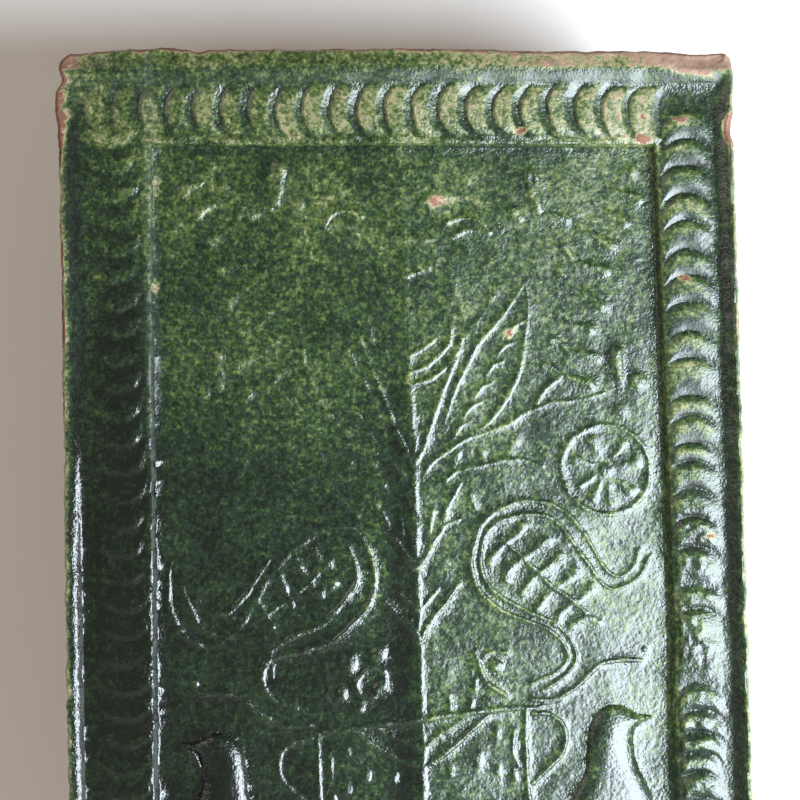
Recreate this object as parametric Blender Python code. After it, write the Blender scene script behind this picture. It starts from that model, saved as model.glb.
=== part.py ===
"""Green-glazed relief stove tile: one slab of fired clay with a moulded frame, a sunk panel pressed
with a bouquet and two birds, and a hollow collar (the rump) behind it that is built into the stove.

Axes: +X to the right as one faces the tile, +Y into the stove, +Z up. The origin is on the back rim
of the rump, at the middle of its lower wall. Lengths are in millimetres until they become points.
"""

import math

import bmesh
import bpy
import numpy as np

MM = 0.001

# the face slab
TALL = 300.0
HALF_WIDTH_AT_HEAD = 100.2
HALF_WIDTH_AT_FOOT = 102.2
LEAN = 0.0228  # the pressed slab dried out of square: sideways slip for each mm of height
GROUND_THICK = 9.5  # clay behind the sunk panel
CORNER_RADIUS = 4.5
UNDERCUT = 1.5  # how much the slab's edge draws in towards its back

# the rump
RUMP_DEPTH = 55.0
RUMP_INSET = 14.0
RUMP_WALL = 9.0
RUMP_CORNER = 12.0
RUMP_OVERLAP = 2.0  # how far the collar is luted into the slab

# the sunk panel, measured from the slab's middle line and from its foot
PANEL_LEFT, PANEL_RIGHT = -72.8, 75.5
PANEL_FOOT, PANEL_HEAD = 29.0, 270.8

# the frame's profile, as heights over the panel's ground
WALL_WIDTH = 2.6
BAND_HEIGHT = 3.0
LIP_HEIGHT = 0.7  # the bead between the wall and the crescents
LIP_OVER_WALL = 0.6
LIP_HALF_WIDTH = 1.6
RIM_HEIGHT = 2.8  # over the band
RIM_EDGE_DROP = 1.2
# (the crest's distance from the slab's edge, width of the slope inside it) on each side
RIM = {"left": (3.3, 4.2), "right": (1.0, 5.6), "head": (5.4, 4.0), "foot": (4.4, 4.2)}

# the crescents of the frame
CRESCENT_PITCH = 8.0
CRESCENT_BULGE = 5.0
CRESCENT_HEIGHT = 1.5
CRESCENT_RISE = 1.6
BAND = {"left": (-91.5, -76.5), "right": (78.5, 93.8), "head": (273.6, 289.6), "foot": (10.6, 26.2)}
# (where the first one ends, how many): upwards at the right, to the left at the head, and so round
CRESCENTS = {"right": (282.0, 33), "head": (91.4, 21), "left": (-19.0, 33), "foot": (92.0, 21)}

# how the slab's edges are worn: (place along the edge, half the length, how far in; out if below 0)
EDGE_WEAR = {
    "left": [(298, 7, 0.8), (291, 4, 1.4), (284, 8, -0.9)],
    "right": [(276, 6, 0.9), (154, 4, 0.4), (134, 5, 0.4)],
    "head": [(-98, 22, 1.1), (-66, 10, -0.7), (-57.5, 4, 0.7), (50, 40, 0.5), (92, 22, 1.2)],
    "foot": [(-40, 14, 0.5), (60, 9, 0.6)],
}
EDGE_WEAR_REACH = 12.0
# spots rubbed or broken off the face: (across, up, half the width, half the height, depth)
WORN_SPOTS = [(-93, 297, 10, 5, 1.0), (92, 297, 14, 5, 1.1), (99.5, 276, 3.5, 6, 2.0)]

# the relief
LINE = 2.2  # width of a gouge line
LINE_HEIGHT = 0.75
SEAM_AT_FOOT = 3.9  # the raised seam of the two mould halves, right of the middle line
SEAM_BOW = 3.1

GRID_PITCH = 1.0
FACE_TRIANGLES = 8900

GLAZE_COLOUR = (0.030, 0.070, 0.028, 1.0)
GLAZE_ROUGHNESS = 0.25


def smooth(x):
    """0 below 0, 1 above 1, and an S-shaped step between."""
    x = np.clip(x, 0.0, 1.0)
    return x * x * (3.0 - 2.0 * x)


def half_width(up):
    """The slab is a little wider at its foot."""
    return HALF_WIDTH_AT_FOOT + (HALF_WIDTH_AT_HEAD - HALF_WIDTH_AT_FOOT) * up / TALL


def seam_at(up):
    """The seam's place right of the slab's middle line: straight at the foot, bowed in above."""
    return SEAM_AT_FOOT - SEAM_BOW * (np.clip(up - 110.0, 0.0, None) / 160.0) ** 2


def curve(points, per_span=6):
    """A smooth path through the points."""
    points = np.asarray(points, float)
    if len(points) == 2:
        return points
    ends = [2 * points[0] - points[1], 2 * points[-1] - points[-2]]
    guide = np.vstack([ends[0], points, ends[1]])
    t = np.arange(per_span)[:, None] / per_span
    path = []
    for a, b, c, d in zip(guide, guide[1:], guide[2:], guide[3:]):
        bend = (2 * a - 5 * b + 4 * c - d) * t**2 + (3 * b - a - 3 * c + d) * t**3
        path.append(0.5 * (2 * b + (c - a) * t + bend))
    return np.vstack(path + [points[-1:]])


class Clay:
    """The face's points in the drawing (mm beside the seam, mm over the foot) and their heights."""

    def __init__(self, beside, up):
        self.beside = beside
        self.up = up
        self.height = np.zeros_like(beside)

    def near(self, path, margin):
        low, high = path.min(0) - margin, path.max(0) + margin
        inside = (self.beside > low[0]) & (self.beside < high[0])
        return np.flatnonzero(inside & (self.up > low[1]) & (self.up < high[1]))

    def gap(self, where, path):
        """Distance from these points to the path."""
        nearest = np.full(len(where), np.inf)
        for start, end in zip(path, path[1:]):
            step = end - start
            beside, up = self.beside[where] - start[0], self.up[where] - start[1]
            share = np.clip((beside * step[0] + up * step[1]) / max(step @ step, 1e-9), 0.0, 1.0)
            nearest = np.minimum(nearest, np.hypot(beside - share * step[0], up - share * step[1]))
        return nearest

    def add(self, where, height):
        """Joins a raised form to what is there, rounded where the two meet."""
        self.height[where] = np.cbrt(self.height[where] ** 3 + height**3)

    def line(self, points, width=LINE, height=LINE_HEIGHT):
        path = curve(points)
        where = self.near(path, width)
        self.add(where, height * np.clip(1 - (2 * self.gap(where, path) / width) ** 2, 0, None) ** 1.3)

    def boss(self, centre, radius, height):
        where = self.near(np.array([centre]), radius)
        gap = np.hypot(self.beside[where] - centre[0], self.up[where] - centre[1])
        self.add(where, height * np.clip(1 - (gap / radius) ** 2, 0, None) ** 0.8)

    def body(self, outline, height, shoulder):
        """A closed outline, filled to a rounded body."""
        path = curve(outline[-2:] + outline + outline[:2])[12:-6]
        where = self.near(path, 0.0)
        beside, up = self.beside[where], self.up[where]
        inside = np.zeros(len(where), bool)
        for (x0, z0), (x1, z1) in zip(path, np.roll(path, -1, axis=0)):
            if z0 != z1:
                crossing = (z0 > up) != (z1 > up)
                inside ^= crossing & (beside < x0 + (x1 - x0) * (up - z0) / (z1 - z0))
        slope = np.clip(self.gap(where, path) / shoulder, 0.0, 1.0)
        self.add(where, np.where(inside, height * np.sqrt(1 - (1 - slope) ** 2), 0.0))


def tulip(clay):
    """The flower at the head: a heart of two lines each side, opening into a scroll."""
    clay.line([(0, 204), (8.5, 209), (12.5, 218), (9.2, 233), (11, 246), (18.5, 250), (25, 246)])
    clay.line([(0, 199.5), (8, 202.5), (14.5, 209)])
    clay.line([(7, 255.5), (18, 256.5), (28, 249.5)], LINE, 0.5)


def drop_flower(clay):
    clay.line([(39.8, 262), (40.5, 252)], 4.5, LINE_HEIGHT)
    clay.line([(40.5, 251), (34.5, 243), (26.5, 229), (13.5, 208), (0.5, 178)])
    clay.boss((33.5, 251.5), 2.2, 0.6)
    clay.boss((45, 250), 2.4, 0.7)


def long_leaf(clay):
    clay.line([(9, 186), (13.5, 200), (21, 213), (35.3, 231.5)])
    clay.line([(10, 181.5), (25, 192), (34, 211), (35.3, 231.5)])


def side_twig(clay):
    """The twig over the rosette with its three lobes, and the fern that branches from it."""
    clay.line([(2.5, 173.8), (12, 182.5), (29, 189), (41, 195.2), (57.5, 198.4)])
    clay.line([(61.7, 209.5), (61.9, 204)], 4.4, 0.8)
    clay.boss((67.5, 201.8), 2.5, 0.8)
    clay.line([(37.3, 195.3), (44.6, 203), (49.3, 218.5), (52.5, 240), (67, 264)])
    for leaf in range(7):
        beside, up = 46.0 + 2.6 * leaf, 203.0 + 9.0 * leaf
        clay.line([(beside, up), (beside + 7, up - 2.6)])


def rosette(clay):
    centre, radius, petals = (57.0, 175.5), 13.2, 8
    around = [2 * math.pi * step / 32 for step in range(33)]
    clay.line([(centre[0] + radius * math.cos(a), centre[1] + radius * math.sin(a)) for a in around])
    clay.boss(centre, 2.3, 0.9)
    for petal in range(petals):
        angle = math.radians(16 + 360 / petals * petal)
        towards = np.array([math.cos(angle), math.sin(angle)])
        clay.line([centre + 5.5 * towards, centre + 9 * towards], 3.4, LINE_HEIGHT)


def scroll_leaf(clay):
    """The S-shaped leaf: two parallel lines round a rib with five cross bars."""
    clay.line([(33, 111.6), (43.8, 121.5), (25, 133.3), (16.3, 147), (21, 161.2), (32, 166.3),
               (45, 162.5), (55.5, 146), (60, 143.6), (66, 151)])
    clay.line([(36, 109), (47, 121.5), (30, 135.4), (19.2, 148), (23, 158), (32, 162),
               (42, 158.5), (55, 141.3), (60, 139.6), (69.5, 149.5)])
    clay.line([(25.3, 155.5), (35, 145.6), (49.5, 133.2)])
    for bar in range(5):
        beside, up = 27.0 + 4.7 * bar, 153.5 - 4.5 * bar
        clay.line([(beside - 5, up - 5.5), (beside, up), (beside + 6, up + 4.8)])


def foot_twig(clay):
    clay.line([(33, 107.3), (46, 111), (54.5, 118), (65.5, 118.6)])


def seam_leaves(clay):
    clay.line([(0, 146), (6.3, 156), (12.8, 160.8)])
    clay.line([(0, 125), (8, 136.5), (12.4, 141.9)])


def vase(clay):
    clay.line([(0, 101.4), (25, 104.5), (42, 106.7)])
    clay.line([(31, 104.6), (31.2, 78), (29, 56), (13.5, 41.5), (15.5, 36.5)])
    clay.line([(32.5, 103.4), (42, 99.5), (40.8, 90.3), (32.2, 82.4)])
    clay.line([(0.5, 90), (20, 103)])
    clay.line([(0, 70), (31.5, 72)])
    clay.line([(0, 36.5), (15.5, 36.5)])


def bird(clay):
    """A bird that turns away from the vase, in the highest relief of the panel."""
    outline = [(68.6, 102.3), (61.8, 104.2), (57.6, 105.7), (53, 104), (50.2, 100), (49.1, 93),
               (48.6, 87), (46, 81), (41.5, 73), (37.5, 64), (35.5, 53), (39, 48.5), (45, 52),
               (51, 54.5), (58, 54), (64.5, 58), (69, 65), (69.8, 73), (67, 80), (63.6, 87.5),
               (62.4, 94), (64, 99.5)]
    clay.body(outline, 2.9, 6.5)
    for leg in (56.0, 61.0):
        clay.line([(leg, 56), (leg, 38)], LINE, 0.9)


def panel_relief(across, up):
    """The drawing is cut once, beside the seam. The left half of the mould mirrors it, slipped."""
    beside = across - seam_at(up)
    left = beside < 0
    beside = np.abs(beside)
    narrower = np.where(left, 0.92 + 0.08 * smooth((190 - up) / 25), 1.0)
    lower = np.where(left, 11 * np.tanh(beside / 38) * smooth((235 - up) / 95), 0.0)
    clay = Clay(beside / narrower, up + lower)
    for motif in (tulip, drop_flower, long_leaf, side_twig, rosette, scroll_leaf, foot_twig,
                  seam_leaves, vase):
        motif(clay)
    clay.height *= np.where(left, 0.5 + 0.4 * smooth((170 - up) / 40), 1.0)
    seam = np.clip(1 - (beside / (0.7 * LINE)) ** 2, 0, None) ** 1.3
    clay.add(slice(None), (0.3 + 0.4 * smooth((215 - up) / 25)) * seam)
    bird(clay)
    return clay.height


def rim_profile(inward, crest, slope):
    """Height of the outer rim over the band, at a distance inward from the slab's edge."""
    outer = RIM_HEIGHT - RIM_EDGE_DROP * (1 - smooth(inward / crest))
    return np.where(inward < crest, outer, RIM_HEIGHT * (1 - smooth((inward - crest) / slope)))


def crescents(along, across, band, first, count):
    """A row of scales, each bulging the way `along` grows."""
    middle, half = (band[0] + band[1]) / 2, abs(band[1] - band[0]) / 2
    from_middle = np.clip((across - middle) / half, -1.0, 1.0)
    lag = CRESCENT_BULGE * from_middle**2
    horns = 1 - from_middle**4
    height = np.zeros_like(along)
    for number in range(count):
        behind = first - CRESCENT_PITCH * number - lag - along
        rise = smooth(behind / CRESCENT_RISE)
        fall = 1 - smooth((behind - CRESCENT_RISE) / (CRESCENT_PITCH - 0.6))
        height = np.maximum(height, CRESCENT_HEIGHT * rise * fall * horns)
    return height


def face_height(across, up):
    """Height of the whole face over the panel's ground."""
    inward = {
        "left": across + half_width(up),
        "right": half_width(up) - across,
        "head": TALL - up,
        "foot": up,
    }
    outside = np.maximum.reduce([PANEL_LEFT - across, across - PANEL_RIGHT,
                                 up - PANEL_HEAD, PANEL_FOOT - up])
    rim = np.maximum.reduce([rim_profile(inward[side], *RIM[side]) for side in RIM])
    frame = BAND_HEIGHT * smooth(outside / WALL_WIDTH) + rim
    frame += LIP_HEIGHT * np.clip(1 - ((outside - WALL_WIDTH - LIP_OVER_WALL) / LIP_HALF_WIDTH) ** 2,
                                   0, None)
    rows = np.maximum.reduce([
        crescents(up, across, BAND["right"], *CRESCENTS["right"]),
        crescents(-across, up, BAND["head"], *CRESCENTS["head"]),
        crescents(-up, across, BAND["left"], *CRESCENTS["left"]),
        crescents(across, up, BAND["foot"], *CRESCENTS["foot"]),
    ])
    frame += rows * smooth((outside - WALL_WIDTH - 1.0) / 1.5)
    return np.where(outside > 0, frame, panel_relief(across, up) * smooth(-outside / 1.5))


def bell(offset, half):
    """1 in the middle, falling smoothly to 0 at half."""
    return 1 - smooth(np.abs(offset) / half)


def wear_face(across, up, height):
    """Lowers the rubbed and chipped spots."""
    for place, level, wide, tall, depth in WORN_SPOTS:
        height = height - depth * bell(np.hypot((across - place) / wide, (up - level) / tall), 1.0)
    return height


def wear_edges(across, up):
    """Moves the points near the slab's edges in or out where the outline is worn."""
    inward = {
        "left": (half_width(up) + across, up, 1, 0),
        "right": (half_width(up) - across, up, -1, 0),
        "head": (TALL - up, across, 0, -1),
        "foot": (up, across, 0, 1),
    }
    shift_across, shift_up = np.zeros_like(across), np.zeros_like(up)
    for side, (distance, along, step_across, step_up) in inward.items():
        reach = 1 - smooth(distance / EDGE_WEAR_REACH)
        for place, half, depth in EDGE_WEAR[side]:
            amount = depth * reach * bell(along - place, half)
            shift_across += step_across * amount
            shift_up += step_up * amount
    return across + shift_across, up + shift_up


def round_corners(across, up):
    """Draws the points near the slab's corners in, so that its outline turns on an arc."""
    side, head = half_width(up) - np.abs(across), np.minimum(up, TALL - up)
    right, top = 1 - side / CORNER_RADIUS, 1 - head / CORNER_RADIUS
    corner = (right > 0) & (top > 0)
    reach = np.hypot(right, top)
    pull = np.where(corner, np.maximum(right, top) / np.maximum(reach, 1e-9), 1.0)
    shift_across = np.where(corner, (1 - pull) * right * CORNER_RADIUS, 0.0)
    shift_up = np.where(corner, (1 - pull) * top * CORNER_RADIUS, 0.0)
    return across - np.sign(across) * shift_across, up - np.sign(up - TALL / 2) * shift_up


def to_model(across, up, depth):
    """From the slab's own millimetres to the model: x slips with the lean, z is over the origin."""
    z_of_origin = RUMP_INSET + RUMP_WALL / 2
    return ((across - LEAN * (up - TALL / 2)) * MM, depth * MM, (up - z_of_origin) * MM)


def glazed_clay():
    material = bpy.data.materials.new("green_glaze")
    material.use_nodes = True
    shader = material.node_tree.nodes["Principled BSDF"]
    shader.inputs["Base Color"].default_value = GLAZE_COLOUR
    shader.inputs["Roughness"].default_value = GLAZE_ROUGHNESS
    shader.inputs["Metallic"].default_value = 0.0
    return material


def apply_modifiers(piece):
    """Replaces the piece's mesh with the one its modifiers make."""
    graph = bpy.context.evaluated_depsgraph_get()
    finished = bpy.data.meshes.new_from_object(piece.evaluated_get(graph))
    piece.modifiers.clear()
    piece.data = finished


def face_slab(collection):
    """The slab: a grid raised to the relief, thinned, and closed by a flat back."""
    columns = round(2 * HALF_WIDTH_AT_FOOT / GRID_PITCH)
    rows = round(TALL / GRID_PITCH)
    bpy.ops.mesh.primitive_grid_add(x_subdivisions=columns, y_subdivisions=rows, size=2)
    slab = bpy.context.object
    slab.name = "stove_tile"
    for old in slab.users_collection:
        old.objects.unlink(slab)
    collection.objects.link(slab)

    points = np.empty(3 * len(slab.data.vertices))
    slab.data.vertices.foreach_get("co", points)
    points = points.reshape(-1, 3)
    up = (points[:, 1] + 1) / 2 * TALL
    across = points[:, 0] * half_width(up)
    height = wear_face(across, up, face_height(across, up))
    across, up = wear_edges(*round_corners(across, up))
    depth = -RUMP_DEPTH - GROUND_THICK - height
    points = np.column_stack(to_model(across, up, depth))
    slab.data.vertices.foreach_set("co", points.ravel())
    slab.data.update()

    thin = slab.modifiers.new("thin", "DECIMATE")
    thin.ratio = FACE_TRIANGLES / (2 * columns * rows)
    apply_modifiers(slab)

    shell = bmesh.new()
    shell.from_mesh(slab.data)
    bmesh.ops.triangulate(shell, faces=shell.faces)
    edge = [e for e in shell.edges if e.is_boundary]
    grown = bmesh.ops.extrude_edge_only(shell, edges=edge)["geom"]
    draw_in = 1 - UNDERCUT / HALF_WIDTH_AT_FOOT
    middle = (TALL / 2 - RUMP_INSET - RUMP_WALL / 2) * MM
    for point in (item for item in grown if isinstance(item, bmesh.types.BMVert)):
        point.co.x *= draw_in
        point.co.z = middle + (point.co.z - middle) * draw_in
        point.co.y = -RUMP_DEPTH * MM
    back_edge = [e for e in grown if isinstance(e, bmesh.types.BMEdge)]
    bmesh.ops.contextual_create(shell, geom=[e for e in back_edge if e.is_boundary])
    bmesh.ops.recalc_face_normals(shell, faces=shell.faces)
    shell.to_mesh(slab.data)
    shell.free()
    return slab


def rounded_box(name, wide, tall, deep, corner, collection):
    """A box with its four long edges rounded, centred on its origin, deep along Y."""
    block = bmesh.new()
    bmesh.ops.create_cube(block, size=1.0)
    bmesh.ops.scale(block, vec=(wide * MM, deep * MM, tall * MM), verts=block.verts)
    along_depth = [e for e in block.edges if abs((e.verts[0].co - e.verts[1].co).y) > deep * MM / 2]
    bmesh.ops.bevel(block, geom=along_depth, offset=corner * MM, segments=5, profile=0.5,
                    affect="EDGES")
    mesh = bpy.data.meshes.new(name)
    block.to_mesh(mesh)
    block.free()
    box = bpy.data.objects.new(name, mesh)
    collection.objects.link(box)
    return box


def as_cutter(piece):
    piece.hide_render = True
    piece.display_type = "WIRE"


def join_to(piece, other, operation):
    step = piece.modifiers.new(other.name, "BOOLEAN")
    step.object = other
    step.operation = operation
    step.solver = "EXACT"


def rump(cutters):
    """The collar: a square-cornered ring of four walls, open at the back."""
    wide, tall = 2 * (HALF_WIDTH_AT_HEAD - RUMP_INSET), TALL - 2 * RUMP_INSET
    middle = (TALL / 2 - RUMP_INSET - RUMP_WALL / 2) * MM
    collar = rounded_box("rump", wide, tall, RUMP_DEPTH + RUMP_OVERLAP, RUMP_CORNER, cutters)
    collar.location = (0.0, -(RUMP_DEPTH + RUMP_OVERLAP) / 2 * MM, middle)
    hollow = rounded_box("rump_hollow", wide - 2 * RUMP_WALL, tall - 2 * RUMP_WALL,
                         2 * RUMP_DEPTH, RUMP_CORNER - RUMP_WALL / 2, cutters)
    hollow.location = (0.0, 0.0, middle)
    as_cutter(hollow)
    as_cutter(collar)
    return collar, hollow


def main():
    for old in list(bpy.data.objects):
        bpy.data.objects.remove(old, do_unlink=True)
    tile_parts = bpy.data.collections.new("stove tile")
    cutters = bpy.data.collections.new("cutters")
    bpy.context.scene.collection.children.link(tile_parts)
    bpy.context.scene.collection.children.link(cutters)

    tile = face_slab(tile_parts)
    collar, hollow = rump(cutters)
    join_to(tile, collar, "UNION")
    join_to(tile, hollow, "DIFFERENCE")
    tile.data.materials.clear()
    tile.data.materials.append(glazed_clay())


main()
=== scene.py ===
# %% [markdown]
# # A green-glazed stove tile, from wet clay to the finished relief
#
# A relief stove tile is one sheet of clay pressed into a carved wooden mould. Behind it the potter
# lutes a square collar, the rump, which is built into the wall of the stove. The whole is fired and
# glazed green. This lesson makes that tile: first its face, then the rump, then the glaze.
#
# Nothing of it is moved: our finished tile stands in its place, in the same metres.

# %% Load the measured model
import math

import bpy
import numpy as np
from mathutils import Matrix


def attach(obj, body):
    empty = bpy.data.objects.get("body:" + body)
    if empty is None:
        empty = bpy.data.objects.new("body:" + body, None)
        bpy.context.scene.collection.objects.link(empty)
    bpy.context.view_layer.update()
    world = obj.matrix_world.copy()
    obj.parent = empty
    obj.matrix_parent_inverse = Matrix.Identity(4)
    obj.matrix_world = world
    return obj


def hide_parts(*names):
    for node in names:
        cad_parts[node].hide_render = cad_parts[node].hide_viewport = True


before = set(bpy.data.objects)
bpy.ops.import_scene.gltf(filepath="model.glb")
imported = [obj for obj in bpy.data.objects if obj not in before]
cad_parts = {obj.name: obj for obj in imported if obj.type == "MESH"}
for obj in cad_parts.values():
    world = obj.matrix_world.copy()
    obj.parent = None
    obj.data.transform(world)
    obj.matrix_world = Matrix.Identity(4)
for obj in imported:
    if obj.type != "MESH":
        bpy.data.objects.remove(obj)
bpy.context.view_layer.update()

# %% [markdown]
# ## The slab's own millimetres
#
# A relief is drawn more easily flat, so the face is worked out in the slab's own measure: `across`
# is millimetres right of its middle line and `up` is millimetres over its foot. The slab dried a
# little out of square, so going from there to the model slips it sideways with its height. The
# relief faces -Y; a greater height comes nearer to us.

# %% The slab's measures
MM = 0.001
TALL = 300.0
HALF_WIDTH_AT_HEAD, HALF_WIDTH_AT_FOOT = 100.2, 102.2
LEAN = 0.0228  # how far it slips sideways for every mm up
BACK = -55.0  # the slab's flat back, where the rump begins
GROUND = -64.5  # the sunk panel's surface
FOOT = -18.5  # the slab's foot under the origin


def half_width(up):
    return HALF_WIDTH_AT_FOOT + (HALF_WIDTH_AT_HEAD - HALF_WIDTH_AT_FOOT) * up / TALL


def to_model(across, up, depth):
    """The slab's millimetres as a point of the model, in metres."""
    return np.column_stack([across - LEAN * (up - TALL / 2), depth, up + FOOT]) * MM


print("Slab:", 2 * HALF_WIDTH_AT_FOOT, "mm wide at its foot,", 2 * HALF_WIDTH_AT_HEAD, "at its head")

# %% [markdown]
# ## Soft edges
#
# Nothing on pressed clay starts or stops sharply, so each form and each change of colour is faded in
# and out. `smooth` is an S-shaped step from 0 to 1, and `bell` is a round bump. Both take a whole
# array of points at once. Read `smooth((up - 150) / 60)` as: nothing up to 150 mm, all of it from
# 60 mm higher on.

# %% A step, a bell and an oval
def smooth(x):
    """0 below 0, 1 above 1, and an S-shaped step between."""
    x = np.clip(x, 0.0, 1.0)
    return x * x * (3.0 - 2.0 * x)


def bell(offset, half):
    """1 in the middle, falling smoothly to 0 at half."""
    return 1.0 - smooth(np.abs(offset) / half)


def oval(across, up, place, level, wide, tall):
    """How far each point lies from a middle: 0 there, 1 on the oval of these half measures."""
    return np.hypot((across - place) / wide, (up - level) / tall)


print("A quarter of the way up its step, smooth gives", round(float(smooth(0.25)), 3))

# %% [markdown]
# ## Clay is never flat
#
# Fingers, cloth and the grain of the mould leave slow ups and downs everywhere. `wander` is a smooth
# random field: random numbers sit on a coarse net, `size` millimetres apart, and are blended between.
# Its seed is fixed, so the same tile comes out of the kiln every time. Real unevenness is coarse and
# fine at once, so `unevenness` adds several such fields.

# %% Smooth random unevenness
NET_SPAN = 500  # mm that a net of random numbers covers
NET_LEFT, NET_BELOW = 160, 15  # how far left of the middle line and below the foot it starts


def wander(across, up, size, seed):
    """Smooth ups and downs between -1 and 1, about `size` mm apart."""
    knots = int(NET_SPAN / size) + 4
    net = np.random.default_rng(seed).uniform(-1.0, 1.0, (knots, knots))
    column, row = (across + NET_LEFT) / size, (up + NET_BELOW) / size
    left, low = np.floor(column).astype(int), np.floor(row).astype(int)
    right_share, top_share = smooth(column - left), smooth(row - low)
    foot = net[low, left] * (1 - right_share) + net[low, left + 1] * right_share
    head = net[low + 1, left] * (1 - right_share) + net[low + 1, left + 1] * right_share
    return foot * (1 - top_share) + head * top_share


def unevenness(across, up, *layers):
    """The sum of several wanderings, each given as (height, size, seed)."""
    return sum(height * wander(across, up, size, seed) for height, size, seed in layers)


def unevenness_along(along, *layers):
    """The same for points on one line."""
    return unevenness(along, 0 * along, *layers)


sample = unevenness_along(np.arange(0.0, 200.0), (1.0, 20, 0))
print("A sample of unevenness runs from", round(sample.min(), 2), "to", round(sample.max(), 2))

# %% [markdown]
# ## A gouge for drawing in clay
#
# The mould was cut with a few gouges, so on the tile every line is a rounded ridge. Modelling each
# ridge with extrude and bevel would never let them melt into each other as pressed clay does, so
# this relief is worked as a height at every point of a fine net. `Clay` holds the net and raises it:
# a `line` follows a smooth path, a `dab` is a round touch, a `body` fills an outline. Where two
# forms meet, the cube root of their cubes' sum rounds the join.

# %% The gouge
LINE_WIDTH = 1.8  # of a line that isn't told otherwise
BOTH, RIGHT, LEFT = 0, 1, -1  # the half of the mould that a touch is cut in


def smooth_path(points, per_span=7):
    """A smooth path through the points."""
    points = np.asarray(points, float)
    if len(points) == 2:
        return points
    guide = np.vstack([2 * points[0] - points[1], points, 2 * points[-1] - points[-2]])
    t = np.arange(per_span)[:, None] / per_span
    path = []
    for a, b, c, d in zip(guide, guide[1:], guide[2:], guide[3:]):
        bend = (2 * a - 5 * b + 4 * c - d) * t**2 + (3 * b - a - 3 * c + d) * t**3
        path.append(0.5 * (2 * b + (c - a) * t + bend))
    return np.vstack(path + [points[-1:]])


class Clay:
    """Points of the drawing (mm beside the seam, mm over the foot) and the height at each."""

    def __init__(self, beside, up, left):
        self.beside, self.up, self.left = beside, up, left
        self.height = np.zeros_like(beside)

    def near(self, path, margin, side=BOTH):
        """The points that a touch can reach: those in the box round its path."""
        low, high = path.min(0) - margin, path.max(0) + margin
        inside = (self.beside > low[0]) & (self.beside < high[0])
        inside &= (self.up > low[1]) & (self.up < high[1])
        if side != BOTH:
            inside &= self.left == (side == LEFT)
        return np.flatnonzero(inside)

    def join(self, where, height):
        """Melts a new form into what is there."""
        self.height[where] = np.cbrt(self.height[where] ** 3 + height**3)

    def line(self, points, width=LINE_WIDTH, height=0.6, ends=(1.0, 1.0), side=BOTH):
        """A ridge along a path. width may be (at its start, at its end); ends narrows a plain one."""
        path = smooth_path(points)
        tapered = np.ndim(width) == 1
        start, end = width if tapered else (width * ends[0], width * ends[1])
        widest = max(start, end) if tapered else width
        where = self.near(path, widest / 2, side)
        nearest = np.full(len(where), np.inf)
        share_there, run = np.zeros(len(where)), 0.0
        steps = np.hypot(*np.diff(path, axis=0).T)
        for a, b, long in zip(path, path[1:], steps):
            beside, up = self.beside[where] - a[0], self.up[where] - a[1]
            share = np.clip((beside * (b - a)[0] + up * (b - a)[1]) / (long**2 + 1e-9), 0.0, 1.0)
            gap = np.hypot(beside - share * (b - a)[0], up - share * (b - a)[1])
            closer = gap < nearest
            nearest = np.where(closer, gap, nearest)
            share_there = np.where(closer, (run + share * long) / steps.sum(), share_there)
            run += long
        if tapered:
            wide = start + (end - start) * share_there
        else:
            towards_end = smooth(2 - 2 * share_there)
            towards_start = smooth(2 * share_there)
            wide = np.where(share_there < 0.5, start + (width - start) * towards_start,
                            end + (width - end) * towards_end)
        # a round top that runs out softly on both sides, and is lower where the gouge cut narrower
        section = np.clip(1 - (2 * nearest / wide) ** 2.4, 0, None) ** 1.4
        self.join(where, height * (section * np.minimum(1, wide / widest)))

    def dab(self, centre, radii, height, side=BOTH):
        """A round touch, or an oval one if radii is (half its width, half its height)."""
        radii = np.ones(2) * radii
        where = self.near(np.array([centre - radii, centre + radii]), 0.0, side)
        gap = ((self.beside[where] - centre[0]) / radii[0]) ** 2
        gap += ((self.up[where] - centre[1]) / radii[1]) ** 2
        self.join(where, height * np.clip(1 - gap, 0, None) ** 0.8)

    def ring(self, centre, radius, width, height, side=BOTH):
        """A round ridge, with its top at the radius."""
        where = self.near(np.array([centre]), radius + width, side)
        gap = np.hypot(self.beside[where] - centre[0], self.up[where] - centre[1]) - radius
        self.join(where, height * np.clip(1 - (2 * gap / width) ** 2, 0, None) ** 1.5)

    def body(self, outline, height, shoulder):
        """A closed outline, filled to a body that is round at its edge."""
        per_span = 5
        path = smooth_path(outline[-2:] + outline + outline[:3], per_span)
        path = path[2 * per_span:-2 * per_span]
        where = self.near(path, 0.1)
        beside, up = self.beside[where], self.up[where]
        nearest = np.full(len(where), np.inf)
        inside = np.zeros(len(where), bool)
        for a, b in zip(path, np.roll(path, -1, axis=0)):
            step = b - a
            share = ((beside - a[0]) * step[0] + (up - a[1]) * step[1]) / (step @ step + 1e-9)
            share = np.clip(share, 0.0, 1.0)
            gap = np.hypot(beside - a[0] - share * step[0], up - a[1] - share * step[1])
            nearest = np.minimum(nearest, gap)
            if a[1] != b[1]:
                crossing = (a[1] > up) != (b[1] > up)
                inside ^= crossing & (beside < a[0] + step[0] * (up - a[1]) / step[1])
        rise = np.clip(nearest / shoulder, 0.0, 1.0)
        self.join(where, np.where(inside, height * np.sqrt(1 - (1 - rise) ** 2), 0.0))


print("The gouge cuts lines", LINE_WIDTH, "mm wide unless told otherwise")

# %% [markdown]
# ## The drawing: the flowers at the head
#
# The mould was drawn once and mirrored about its middle seam, so each motif is cut for one side
# only. At the head a tulip opens round the seam, a drop flower leans out over it, and a long leaf
# with short barbs lies between them.

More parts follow.
